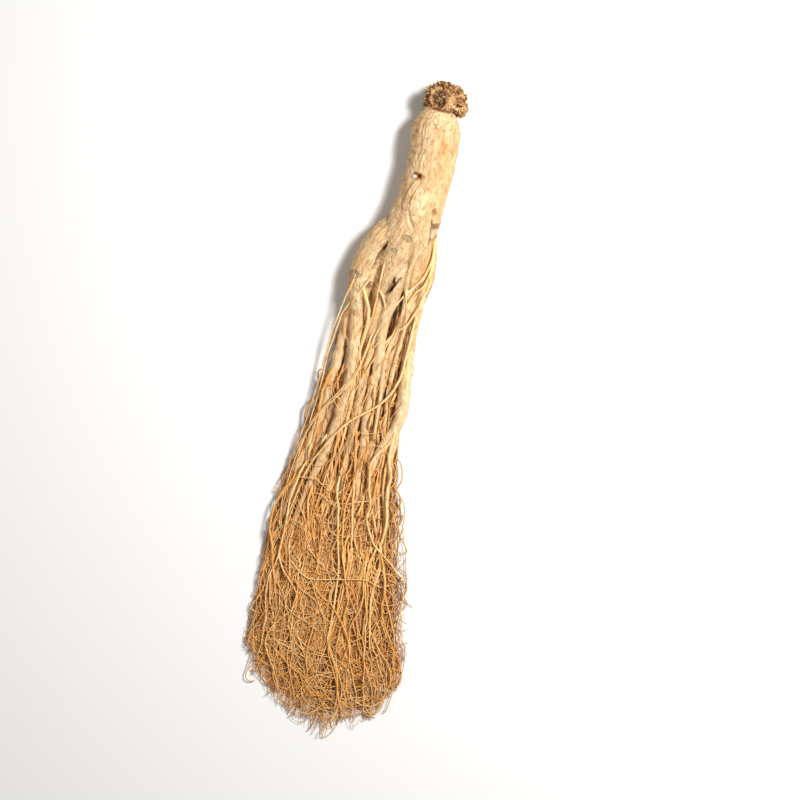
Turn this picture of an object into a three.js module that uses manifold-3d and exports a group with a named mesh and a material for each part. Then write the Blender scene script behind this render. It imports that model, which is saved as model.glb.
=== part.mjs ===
// A dried white ginseng root with its head, body, legs and full beard, as it lies on a table.
// Millimetres, +Z up and +Y towards the head. The origin is on the small flat spot under the
// body, on which the root rests with two of its legs. It grew as one piece, so it is one solid.

import * as THREE from "three";
import { mergeVertices } from "three/addons/utils/BufferGeometryUtils.js";
import Module from "manifold-3d";

const wasm = await Module();
wasm.setup();

// Driving dimensions
const BODY_RADIUS = 11; // half the width of the body below the shoulder
const BODY_FLATNESS = 0.94; // thickness of the body over its width
const SPOT_DEPTH = 0.35; // how far the flat spot is worn into the round of the body
const LEFT_FOOT_Z = 0.8; // low enough for a leg to touch the surface on the left
const RIGHT_FOOT_Z = 0.5; // and on the right, so that it rests on three places
const CLEARANCE = 0.6; // height of every other rootlet off the surface
const TIP_Y = -258; // where the longest rootlets end
const TIP_ROUNDING = 26; // how much sooner the beard ends at its edges
const SEED = 13;
const JOIN_TOLERANCE = 0.05; // edges shorter than this close up where limbs meet

// Sides of a limb's section, from the body down to a rootlet
const BODY_SIDES = 18;
const LEG_SIDES = 8;
const THIN_SIDES = 5;
const ROOTLET_SIDES = 3;

const AXIS_Z = BODY_RADIUS * BODY_FLATNESS - SPOT_DEPTH; // height of the body's axis
const TAU = 2 * Math.PI;

// Limbs are lists of [x, y, height of the axis, radius], from the head end to the tip.
const BODY = [
  [1.2, 35, AXIS_Z, 3.6],
  [1.0, 32.3, AXIS_Z, 6.4],
  [0.3, 28.4, AXIS_Z, 9.4],
  [-0.1, 23, AXIS_Z, 11.1],
  [0.6, 13, AXIS_Z, BODY_RADIUS],
  [0.5, 4, AXIS_Z, BODY_RADIUS],
  [0, -4, AXIS_Z, BODY_RADIUS],
  [-0.9, -12, AXIS_Z + 0.8, 11.2],
  [-2.2, -20, AXIS_Z + 1.2, 11.5],
  [-4.2, -28, AXIS_Z + 1, 11.3],
  [-6.3, -37, 10, 9.3],
  [-7.4, -46, 9.4, 7.3],
  [-8.2, -55, 8.6, 5.2],
  [-8.8, -61, 7.8, 3.2],
];

const MIDDLE_LEG = [
  [-7.8, -50, 8.8, 4.6],
  [-9.2, -66, 7.4, 3.9],
  [-9.4, -82, 6, 3.1],
  [-9, -104, 5, 2.4],
  [-9.6, -132, 4.2, 1.7],
  [-8, -164, 3.2, 1.2],
  [-5, -200, 2.2, 0.8],
  [-3, -232, 1.4, 0.5],
];

const LEFT_LEG = [
  [-7, -20, 9.6, 6.6],
  [-12.6, -29, 10, 8],
  [-17.2, -38, 10, 7.3],
  [-19.2, -47, 9.8, 6.2],
  [-19.4, -56, 9.2, 5],
  [-18.4, -63.5, 8.6, 3.5],
  [-17, -73, 8.6, 3.3],
  [-15.4, -84, 8.2, 3.1],
  [-14.6, -95, 7.6, 3],
  [-15.8, -107, 7, 2.7],
  [-18, -121, 6.2, 2.1],
  [-21.8, -138, 5.2, 1.6],
  [-26, -158, 4, 1.2],
  [-29.4, -186, 2.8, 0.9],
  [-31, -216, 1.8, 0.6],
];

const OUTER_LEFT_LEG = [
  [-19, -54, 7, 3.4],
  [-21.6, -66, 6, 2.8],
  [-22.2, -79, 5.4, 2.4],
  [-23.2, -93, 5, 2.2],
  [-24.6, -110, 4.6, 1.8],
  [-28.2, -130, 3.8, 1.3],
  [-32.2, -158, 2.8, 0.9],
  [-34.6, -192, 1.8, 0.6],
];

const FRONT_LEG = [
  [-4.6, -30, 13, 4.6],
  [-3, -42, 13, 4.4],
  [-3.8, -53, 11.6, 3.5],
  [-5.4, -66, 10, 2.8],
  [-4.2, -84, 8.4, 2.3],
  [-4, -108, 6.8, 1.8],
  [-2, -138, 5, 1.3],
  [2, -172, 3.4, 1],
  [7, -206, 2, 0.6],
];

const RIGHT_BULGE = [
  [2.4, -18, 10.6, 4.2],
  [4, -27, 11, 4.7],
  [4.6, -36, 10.8, 4.2],
  [4, -44, 10.2, 2.9],
  [3.2, -52, 9.4, 1.7],
  [4.2, -66, 8.2, 1.2],
  [3, -92, 6.6, 1],
  [6, -126, 5, 0.8],
  [13, -168, 3, 0.6],
];

const RIGHT_LEG = [
  [3.6, -16, 7.6, 4.4],
  [7.6, -29, 6.4, 3.9],
  [9.4, -42, 5.8, 3.6],
  [7, -54, 5.8, 3.5],
  [3.4, -65, 5.6, 2.9],
  [0.8, -79, 5.2, 2.4],
  [-0.4, -98, 4.6, 2],
  [1, -124, 3.8, 1.5],
  [5, -156, 2.8, 1.1],
  [12, -192, 1.9, 0.8],
  [19, -224, 1.2, 0.5],
];

const LONG_RIGHT_LEG = [
  [8.6, -40, 8, 2],
  [8.8, -56, 8.6, 1.9],
  [8.6, -72, 8.4, 2.1],
  [9.2, -87, 7.8, 2.7],
  [10.4, -101, 7, 2.9],
  [9.2, -112, 6.2, 2.2],
  [4.8, -122, 5.6, 1.6],
  [3.2, -136, 5, 1.2],
  [6.6, -152, 4.2, 1],
  [10.4, -180, 3, 0.8],
  [15.6, -212, 1.8, 0.5],
];

const RIGHT_FORK = [
  [9.8, -108, 5.6, 1.6],
  [10.4, -122, 4.8, 1.3],
  [12.2, -140, 4, 1.1],
  [16.4, -168, 2.8, 0.9],
  [23.4, -200, RIGHT_FOOT_Z, 0.7],
  [31, -232, 1.4, 0.4],
];

const UNDER_LEG = [
  [-6, -24, 5.6, 4.8],
  [-11.6, -40, 4.8, 4],
  [-13.4, -56, 4.2, 3.2],
  [-13.2, -74, 3.8, 2.6],
  [-18, -98, 3.2, 2],
  [-23.6, -126, 2.6, 1.5],
  [-27.6, -162, LEFT_FOOT_Z, 1],
  [-25.6, -200, 1.6, 0.7],
  [-21, -234, 1.3, 0.4],
];

// A rootlet that lies along the top of the body like a raised vein, from a scar on its left.
const VEIN = [
  [-4.8, -2.4, 19, 0.7],
  [-6.7, -8, 18.5, 0.9],
  [-6.6, -13.4, 18.7, 1],
  [-4.4, -18.4, 20.2, 1],
  [-1.2, -24, 20.6, 1.1],
  [0.6, -31, 19.2, 1.2],
  [1.2, -39, 17, 1.3],
  [0.6, -48, 14.8, 1.2],
  [-1.4, -62, 12.4, 1],
  [-1.8, -84, 9.8, 0.9],
  [1.4, -118, 7, 0.7],
];

// The beard, as [y, middle x, half width, depth of the pile] down the root
const BEARD = [
  [-40, -7, 15, 15],
  [-100, -9, 22, 11],
  [-135, -10, 25, 9],
  [-170, -7.5, 29, 7],
  [-205, -4, 33, 5],
  [-235, 1, 36, 3.5],
  [TIP_Y, 4, 34, 2.5],
];
const ROOTLET_LENGTH = 150;
const ROOTLET_WAVE = 1.5; // how far a rootlet swings off its lane
const ROOTLET_STEPS = 9;
const TIP_SCATTER = 14; // how far short of the beard's end its longest rootlets may stop

// How many rootlets each leg sheds, and the lane, from -1 at the beard's left edge to 1 at
// its right, around which they fall.
const SHEDDING = [
  { leg: MIDDLE_LEG, rootlets: 8, lane: -0.1 },
  { leg: LEFT_LEG, rootlets: 8, lane: -0.62 },
  { leg: OUTER_LEFT_LEG, rootlets: 6, lane: -0.88 },
  { leg: FRONT_LEG, rootlets: 7, lane: 0.12 },
  { leg: RIGHT_LEG, rootlets: 7, lane: 0.36 },
  { leg: LONG_RIGHT_LEG, rootlets: 6, lane: 0.5 },
  { leg: RIGHT_FORK, rootlets: 5, lane: 0.82 },
  { leg: UNDER_LEG, rootlets: 6, lane: -0.45 },
];

// A repeatable draw between 0 and 1
function drawer(seed) {
  let state = seed >>> 0;
  return () => {
    state = (Math.imul(state, 1664525) + 1013904223) >>> 0;
    return state / 4294967296;
  };
}

const smooth = (t) => {
  const c = Math.min(1, Math.max(0, t));
  return c * c * (3 - 2 * c);
};
const mix = (a, b, t) => a + (b - a) * t;

// A place on a limb's smooth line, with the radius there; t runs from 0 at its top to 1
function lineOf(limb) {
  const along = new THREE.CatmullRomCurve3(
    limb.map(([x, y, z]) => new THREE.Vector3(x, y, z)),
  );
  return (t) => {
    const span = t * (limb.length - 1);
    const i = Math.min(limb.length - 2, Math.floor(span));
    return {
      centre: along.getPoint(t),
      radius: mix(limb[i][3], limb[i + 1][3], span - i),
    };
  };
}

// A closed skin round a row of stations { centre, radius }, with a point at either end.
// relief(angle, station number) scales the radius; flatness scales the thickness.
function skinned(stations, sides, { flatness = 1, relief = () => 1 } = {}) {
  const up = new THREE.Vector3(0, 0, 1);
  const positions = [];
  stations.forEach(({ centre, radius }, i) => {
    const before = stations[Math.max(0, i - 1)].centre;
    const after = stations[Math.min(stations.length - 1, i + 1)].centre;
    const forward = after.clone().sub(before).normalize();
    const across = forward.clone().cross(up).normalize();
    const over = across.clone().cross(forward);
    for (let k = 0; k < sides; k++) {
      const angle = (TAU * k) / sides;
      const r = radius * relief(angle, i);
      const p = centre
        .clone()
        .addScaledVector(across, r * Math.cos(angle))
        .addScaledVector(over, r * flatness * Math.sin(angle));
      positions.push(p.x, p.y, p.z);
    }
  });
  const top = stations[0].centre;
  const tip = stations[stations.length - 1].centre;
  positions.push(top.x, top.y, top.z, tip.x, tip.y, tip.z);

  const index = [];
  const last = (stations.length - 1) * sides;
  const topPoint = stations.length * sides;
  for (let k = 0; k < sides; k++) {
    const next = (k + 1) % sides;
    index.push(topPoint, k, next, topPoint + 1, last + next, last + k);
    for (let i = 0; i < last; i += sides)
      index.push(i + k, i + sides + k, i + next, i + next, i + sides + k, i + sides + next);
  }
  return new THREE.BufferGeometry()
    .setAttribute("position", new THREE.Float32BufferAttribute(positions, 3))
    .setIndex(index);
}

function solid(geometry) {
  const bare = geometry.clone();
  bare.deleteAttribute("normal");
  bare.deleteAttribute("uv");
  const merged = mergeVertices(bare, 1e-4);
  const made = new wasm.Manifold(
    new wasm.Mesh({
      numProp: 3,
      vertProperties: new Float32Array(merged.attributes.position.array),
      triVerts: new Uint32Array(merged.index.array),
    }),
  );
  if (made.volume() < 0) throw new Error("a skin is inside out");
  return made;
}

// Shallow furrows down the body, and a finer ripple across them
const bodyRelief = (angle, station) =>
  1 + 0.016 * Math.cos(3 * angle + station * 0.17) + 0.01 * Math.cos(7 * angle - station * 0.35);

const legRelief = (angle, station) =>
  1 + 0.05 * Math.cos(3 * angle + station * 0.7) * Math.cos(station * 1.3);

function limbSolid(limb, sides, stepsPerSpan, options) {
  const line = lineOf(limb);
  const steps = (limb.length - 1) * stepsPerSpan;
  const stations = Array.from({ length: steps + 1 }, (_, i) => line(i / steps));
  return solid(skinned(stations, sides, options));
}

// The head is the stub of rhizome that each year's stem left a scar on.
// Lumps as [x, y, height, radius across, radius along, radius in height]
const HEAD_LUMPS = [
  [1.6, 34.6, AXIS_Z + 0.3, 7, 3.4, 6],
  [-2, 38.2, AXIS_Z + 1.6, 5.6, 5.4, 5.6],
  [4.6, 39, AXIS_Z, 5.2, 4.6, 5],
  [7.8, 36.6, AXIS_Z - 1.6, 3.6, 3, 3.6],
  [-1, 43, AXIS_Z - 0.6, 3.6, 3.2, 3.8],
  [5.2, 42.4, AXIS_Z - 1.8, 2.8, 2.6, 3],
];
// Cups left by fallen stems as [x, y, height, radius]
const STEM_SCARS = [
  [-2.3, 37.6, AXIS_Z + 9.2, 4.2],
  [8.6, 40.6, AXIS_Z + 4.4, 2.4],
  [4, 43.6, AXIS_Z + 4.2, 2.2],
];

function rough(geometry, amount, seed) {
  const position = geometry.attributes.position;
  const p = new THREE.Vector3();
  for (let i = 0; i < position.count; i++) {
    p.fromBufferAttribute(position, i);
    const swell = Math.sin(4.1 * p.x + seed) * Math.sin(3.7 * p.y - seed) * Math.cos(4.3 * p.z);
    p.multiplyScalar(1 + amount * swell);
    position.setXYZ(i, p.x, p.y, p.z);
  }
  return geometry;
}

function lump([x, y, z, across, along, high], seed) {
  const ball = rough(new THREE.IcosahedronGeometry(1, across > 4 ? 2 : 1), 0.13, seed);
  return ball.scale(across, along, high).translate(x, y, z);
}

function headSolid() {
  const lumps = HEAD_LUMPS.map((each, i) => solid(lump(each, i * 1.7)));
  const joined = wasm.Manifold.union(lumps);
  const cups = STEM_SCARS.map(([x, y, z, r]) =>
    solid(new THREE.IcosahedronGeometry(r, 1).translate(x, y, z)),
  );
  return joined.subtract(wasm.Manifold.union(cups));
}

function beardAt(y) {
  let i = 0;
  while (i < BEARD.length - 2 && y < BEARD[i + 1][0]) i++;
  const [y0, ...a] = BEARD[i];
  const [y1, ...b] = BEARD[i + 1];
  const t = Math.min(1, Math.max(0, (y - y0) / (y1 - y0)));
  const [middle, half, depth] = a.map((v, k) => mix(v, b[k], t));
  return { middle, half, depth };
}

// One rootlet, from a point inside its leg into its lane and down to its tip
function rootlet(start, radius, lane, layer, endY, draw) {
  const phase = draw() * TAU;
  const swing = ROOTLET_WAVE * mix(0.5, 1, draw());
  const turns = mix(1.6, 3, draw());
  const stations = [];
  for (let i = 0; i <= ROOTLET_STEPS; i++) {
    const s = i / ROOTLET_STEPS;
    const y = mix(start.y, endY, s);
    const { middle, half, depth } = beardAt(y);
    const r = mix(radius, 0.32, s);
    const settle = smooth(s * 2.2);
    const wave = swing * Math.sin(phase + turns * TAU * s) * smooth(s * 3);
    const x = mix(start.x, middle + half * lane, settle) + wave;
    const lift = 0.4 * swing * Math.cos(phase + turns * TAU * s) * smooth(s * 3);
    const low = r + CLEARANCE;
    const z = Math.max(low, mix(start.z, low + layer * depth, smooth(s * 1.6)) + lift);
    stations.push({ centre: new THREE.Vector3(x, y, z), radius: r });
  }
  return solid(skinned(stations, ROOTLET_SIDES));
}

function rootletsOf({ leg, rootlets, lane }, draw) {
  const line = lineOf(leg);
  return Array.from({ length: rootlets }, (_, j) => {
    const t = mix(0.24, 0.86, j / rootlets) + 0.02 * draw();
    const { centre, radius } = line(t);
    const side = j % 2 ? 1 : -1;
    const spread = mix(0.34, 0.08, j / rootlets) * mix(0.7, 1.2, draw());
    const wanted = Math.max(-1, Math.min(1, lane + side * spread));
    const furthest = TIP_Y + TIP_ROUNDING * wanted * wanted + TIP_SCATTER * draw();
    const endY = Math.max(furthest, centre.y - ROOTLET_LENGTH * mix(0.85, 1.4, draw()));
    const thick = Math.min(0.8, radius * 0.62) * mix(0.85, 1.15, draw());
    return rootlet(centre, thick, wanted, draw(), endY, draw);
  });
}

function rootSolid() {
  const draw = drawer(SEED);
  const legs = [LEFT_LEG, MIDDLE_LEG, FRONT_LEG, RIGHT_LEG, LONG_RIGHT_LEG, UNDER_LEG];
  const thin = [OUTER_LEFT_LEG, RIGHT_BULGE, RIGHT_FORK, VEIN];
  const limbs = [
    limbSolid(BODY, BODY_SIDES, 2, { flatness: BODY_FLATNESS, relief: bodyRelief }),
    headSolid(),
    ...legs.map((leg) => limbSolid(leg, LEG_SIDES, 1, { relief: legRelief })),
    ...thin.map((leg) => limbSolid(leg, THIN_SIDES, 1)),
    ...SHEDDING.flatMap((shed) => rootletsOf(shed, draw)),
  ];
  const slab = solid(new THREE.BoxGeometry(200, 600, 40).translate(0, -100, -20));
  const joined = wasm.Manifold.union(limbs).subtract(slab).setTolerance(JOIN_TOLERANCE);
  // Only the outer skin is kept: hollows sealed between the limbs are filled, scraps dropped.
  return joined.decompose().reduce((a, b) => (a.volume() > b.volume() ? a : b));
}

function geometryOf(made) {
  const { vertProperties, triVerts } = made.getMesh();
  return new THREE.BufferGeometry()
    .setAttribute("position", new THREE.BufferAttribute(new Float32Array(vertProperties), 3))
    .setIndex(new THREE.BufferAttribute(new Uint32Array(triVerts), 1));
}

const geometry = geometryOf(rootSolid());
geometry.computeVertexNormals();
const skin = new THREE.MeshStandardMaterial({
  color: 0xdcb886,
  roughness: 0.8,
  metalness: 0,
});
const root = new THREE.Mesh(geometry, skin);
root.name = "ginseng_root";

const group = new THREE.Group();
group.add(root);

export default group;
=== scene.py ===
# A dried white ginseng root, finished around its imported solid: body, head, legs and beard.
# Lengths are in millimetres until a mesh is made. +Y runs to the head and +Z off the surface.
# The last number given to swells or swells_at is a seed, so that each use has its own pattern.

import math

import bpy
import numpy as np
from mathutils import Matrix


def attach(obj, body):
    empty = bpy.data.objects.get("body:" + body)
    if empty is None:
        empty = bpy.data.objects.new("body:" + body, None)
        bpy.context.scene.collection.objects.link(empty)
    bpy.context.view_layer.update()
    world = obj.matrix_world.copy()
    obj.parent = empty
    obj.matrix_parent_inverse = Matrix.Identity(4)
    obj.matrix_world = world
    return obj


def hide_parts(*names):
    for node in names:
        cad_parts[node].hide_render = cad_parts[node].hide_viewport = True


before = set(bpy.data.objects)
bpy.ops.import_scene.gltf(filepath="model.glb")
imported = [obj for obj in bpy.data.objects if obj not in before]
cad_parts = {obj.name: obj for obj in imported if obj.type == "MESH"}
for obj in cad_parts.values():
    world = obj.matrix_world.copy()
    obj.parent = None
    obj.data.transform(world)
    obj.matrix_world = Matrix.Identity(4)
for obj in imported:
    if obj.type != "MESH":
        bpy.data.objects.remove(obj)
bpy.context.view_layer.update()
NODE = "ginseng_root"

MM = 0.001
TAU = 2 * math.pi
SEED = 13
# The values that each piece keeps for its material: a warmer tone, a deep brown that paints shade
# low in the beard's pile, in wrinkles, hollows and stem cups and at the scales' feet and also
# colours some brown marks, a dark stain that also paints shade into creases, a pale patch and a
# greenish one
VALUES = ("tone", "deep", "stain_and_shade", "pale", "moss")

BODY_RADIUS = 11
BODY_FLATNESS = 0.94
SPOT_DEPTH = 0.35
AXIS_Z = BODY_RADIUS * BODY_FLATNESS - SPOT_DEPTH
LEFT_FOOT_Z = 0.8
RIGHT_FOOT_Z = 0.5
TIP_Y = -258
TIP_ROUNDING = 26

HEAD_END_Y = 46
BODY_TOP_Z = 21.85
BODY_VOXEL = 0.38
HEAD_VOXEL = 0.17
LEGS_LEAVE_Y = -80  # where the legs go on as slim tubes of their own
SKIN_OVERLAP = 4  # how far the body's skin goes on past that line
LEG_OVERLAP = 12  # how far above that line the slim tubes start, inside the skin
LEG_TAPER = 9  # the length over which each of the two comes to its full radius

# Limbs are lists of [x, y, height of the axis, radius], from the head end to the tip.
BODY = [
    [1.2, 35, AXIS_Z, 3.6], [1.0, 32.3, AXIS_Z, 6.4], [0.3, 28.4, AXIS_Z, 9.4],
    [-0.1, 23, AXIS_Z, 11.1], [0.6, 13, AXIS_Z, BODY_RADIUS], [0.5, 4, AXIS_Z, BODY_RADIUS],
    [0, -4, AXIS_Z, BODY_RADIUS], [-0.9, -12, AXIS_Z + 0.8, 11.2],
    [-2.2, -20, AXIS_Z + 1.2, 11.5], [-4.2, -28, AXIS_Z + 1, 11.3], [-6.3, -37, 10, 9.3],
    [-7.4, -46, 9.4, 7.3], [-8.2, -55, 8.6, 5.2], [-8.8, -61, 7.8, 3.2],
]
MIDDLE_LEG = [
    [-7.8, -50, 8.8, 4.6], [-9.2, -66, 7.4, 3.9], [-9.4, -82, 6, 3.1], [-9, -104, 5, 2.4],
    [-9.6, -132, 4.2, 1.7], [-8, -164, 3.2, 1.2], [-5, -200, 2.2, 0.8], [-3, -232, 1.4, 0.5],
]
LEFT_LEG = [
    [-7, -20, 9.6, 6.6], [-12.6, -29, 10, 8], [-17.2, -38, 10, 7.3], [-19.2, -47, 9.8, 6.2],
    [-19.4, -56, 9.2, 5], [-18.4, -63.5, 8.6, 3.5], [-17, -73, 8.6, 3.3],
    [-15.4, -84, 8.2, 3.1], [-14.6, -95, 7.6, 3], [-15.8, -107, 7, 2.7], [-18, -121, 6.2, 2.1],
    [-21.8, -138, 5.2, 1.6], [-26, -158, 4, 1.2], [-29.4, -186, 2.8, 0.9],
    [-31, -216, 1.8, 0.6],
]
OUTER_LEFT_LEG = [
    [-19, -54, 7, 3.4], [-21.6, -66, 6, 2.8], [-22.2, -79, 5.4, 2.4], [-23.2, -93, 5, 2.2],
    [-24.6, -110, 4.6, 1.8], [-28.2, -130, 3.8, 1.3], [-32.2, -158, 2.8, 0.9],
    [-34.6, -192, 1.8, 0.6],
]
FRONT_LEG = [
    [-4.6, -30, 13, 4.6], [-3, -42, 13, 4.4], [-3.8, -53, 11.6, 3.5], [-5.4, -66, 10, 2.8],
    [-4.2, -84, 8.4, 2.3], [-4, -108, 6.8, 1.8], [-2, -138, 5, 1.3], [2, -172, 3.4, 1],
    [7, -206, 2, 0.6],
]
RIGHT_BULGE = [
    [2.4, -18, 10.6, 4.2], [4, -27, 11, 4.7], [4.6, -36, 10.8, 4.2], [4, -44, 10.2, 2.9],
    [3.2, -52, 9.4, 1.7], [4.2, -66, 8.2, 1.2], [3, -92, 6.6, 1], [6, -126, 5, 0.8],
    [13, -168, 3, 0.6],
]
RIGHT_LEG = [
    [3.6, -16, 7.6, 4.4], [7.6, -29, 6.4, 3.9], [9.4, -42, 5.8, 3.6], [7, -54, 5.8, 3.5],
    [3.4, -65, 5.6, 2.9], [0.8, -79, 5.2, 2.4], [-0.4, -98, 4.6, 2], [1, -124, 3.8, 1.5],
    [5, -156, 2.8, 1.1], [12, -192, 1.9, 0.8], [19, -224, 1.2, 0.5],
]
LONG_RIGHT_LEG = [
    [8.6, -40, 8, 2], [8.8, -56, 8.6, 1.9], [8.6, -72, 8.4, 2.1], [9.2, -87, 7.8, 2.7],
    [10.4, -101, 7, 2.9], [9.2, -112, 6.2, 2.2], [4.8, -122, 5.6, 1.6], [3.2, -136, 5, 1.2],
    [6.6, -152, 4.2, 1], [10.4, -180, 3, 0.8], [15.6, -212, 1.8, 0.5],
]
RIGHT_FORK = [
    [9.8, -108, 5.6, 1.6], [10.4, -122, 4.8, 1.3], [12.2, -140, 4, 1.1], [16.4, -168, 2.8, 0.9],
    [23.4, -200, RIGHT_FOOT_Z, 0.7], [31, -232, 1.4, 0.4],
]
UNDER_LEG = [
    [-6, -24, 5.6, 4.8], [-11.6, -40, 4.8, 4], [-13.4, -56, 4.2, 3.2], [-13.2, -74, 3.8, 2.6],
    [-18, -98, 3.2, 2], [-23.6, -126, 2.6, 1.5], [-27.6, -162, LEFT_FOOT_Z, 1],
    [-25.6, -200, 1.6, 0.7], [-21, -234, 1.3, 0.4],
]
# A rootlet that lies along the top of the body like a raised vein, from a scar on its left.
VEIN = [
    [-4.6, -2.0, 19.2, 0.7], [-6.4, -7.3, 18.9, 0.9], [-6.7, -11.4, 18.9, 1],
    [-6.0, -15.6, 19.6, 1], [-3.6, -19.4, 21, 1], [-0.9, -23.6, 21.2, 1.1],
    [1.2, -29.5, 19.6, 1.2], [1.4, -37, 17.4, 1.3], [0.9, -45, 15.4, 1.2],
    [2.0, -55, 13.2, 1.1], [1.6, -66, 11.4, 1], [-1.2, -84, 9.4, 0.9], [1.4, -118, 7, 0.7],
]
LEGS = [
    MIDDLE_LEG, LEFT_LEG, OUTER_LEFT_LEG, FRONT_LEG, RIGHT_BULGE,
    RIGHT_LEG, LONG_RIGHT_LEG, RIGHT_FORK, UNDER_LEG, VEIN,
]

# The beard, as [y, middle x, half width, depth of the pile] down the root
BEARD = np.array([
    [-40, -7, 15, 15],
    [-100, -9, 22, 11],
    [-135, -10, 25, 9],
    [-170, -7.5, 29, 7],
    [-205, -4, 33, 5],
    [-235, 1, 36, 3.5],
    [TIP_Y, 4, 34, 2.5],
], float)
PILE_ROUNDING = 0.45  # by how much less deep the pile is at its edges
LEFT_LIMIT = -38.2
RIGHT_LIMIT = 36.6
STRAY = 6  # how far a rootlet may stray past the beard's outline
LOCKS = 5.5  # the beard falls into about twice this many locks

# The solid's rootlets
ROOTLET_LENGTH = 150  # the rule's usual length, before the beard's end cuts it short
ROOTLET_WAVE = 1.5
ROOTLET_STEPS = 9
ROOTLET_END_RADIUS = 0.32
SHED_PLACES = 400  # how finely a leg is divided to find where each one starts
TIP_SCATTER = 14
CLEARANCE = 0.6  # how far they stay off the surface

# How many of the solid's rootlets each leg sheds, and the lane around which they fall, from
# -1 at the beard's left edge to 1 at its right
SHEDDING = [
    (MIDDLE_LEG, 8, -0.1),
    (LEFT_LEG, 8, -0.62),
    (OUTER_LEFT_LEG, 6, -0.88),
    (FRONT_LEG, 7, 0.12),
    (RIGHT_LEG, 7, 0.36),
    (LONG_RIGHT_LEG, 6, 0.5),
    (RIGHT_FORK, 5, 0.82),
    (UNDER_LEG, 6, -0.45),
]

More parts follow.
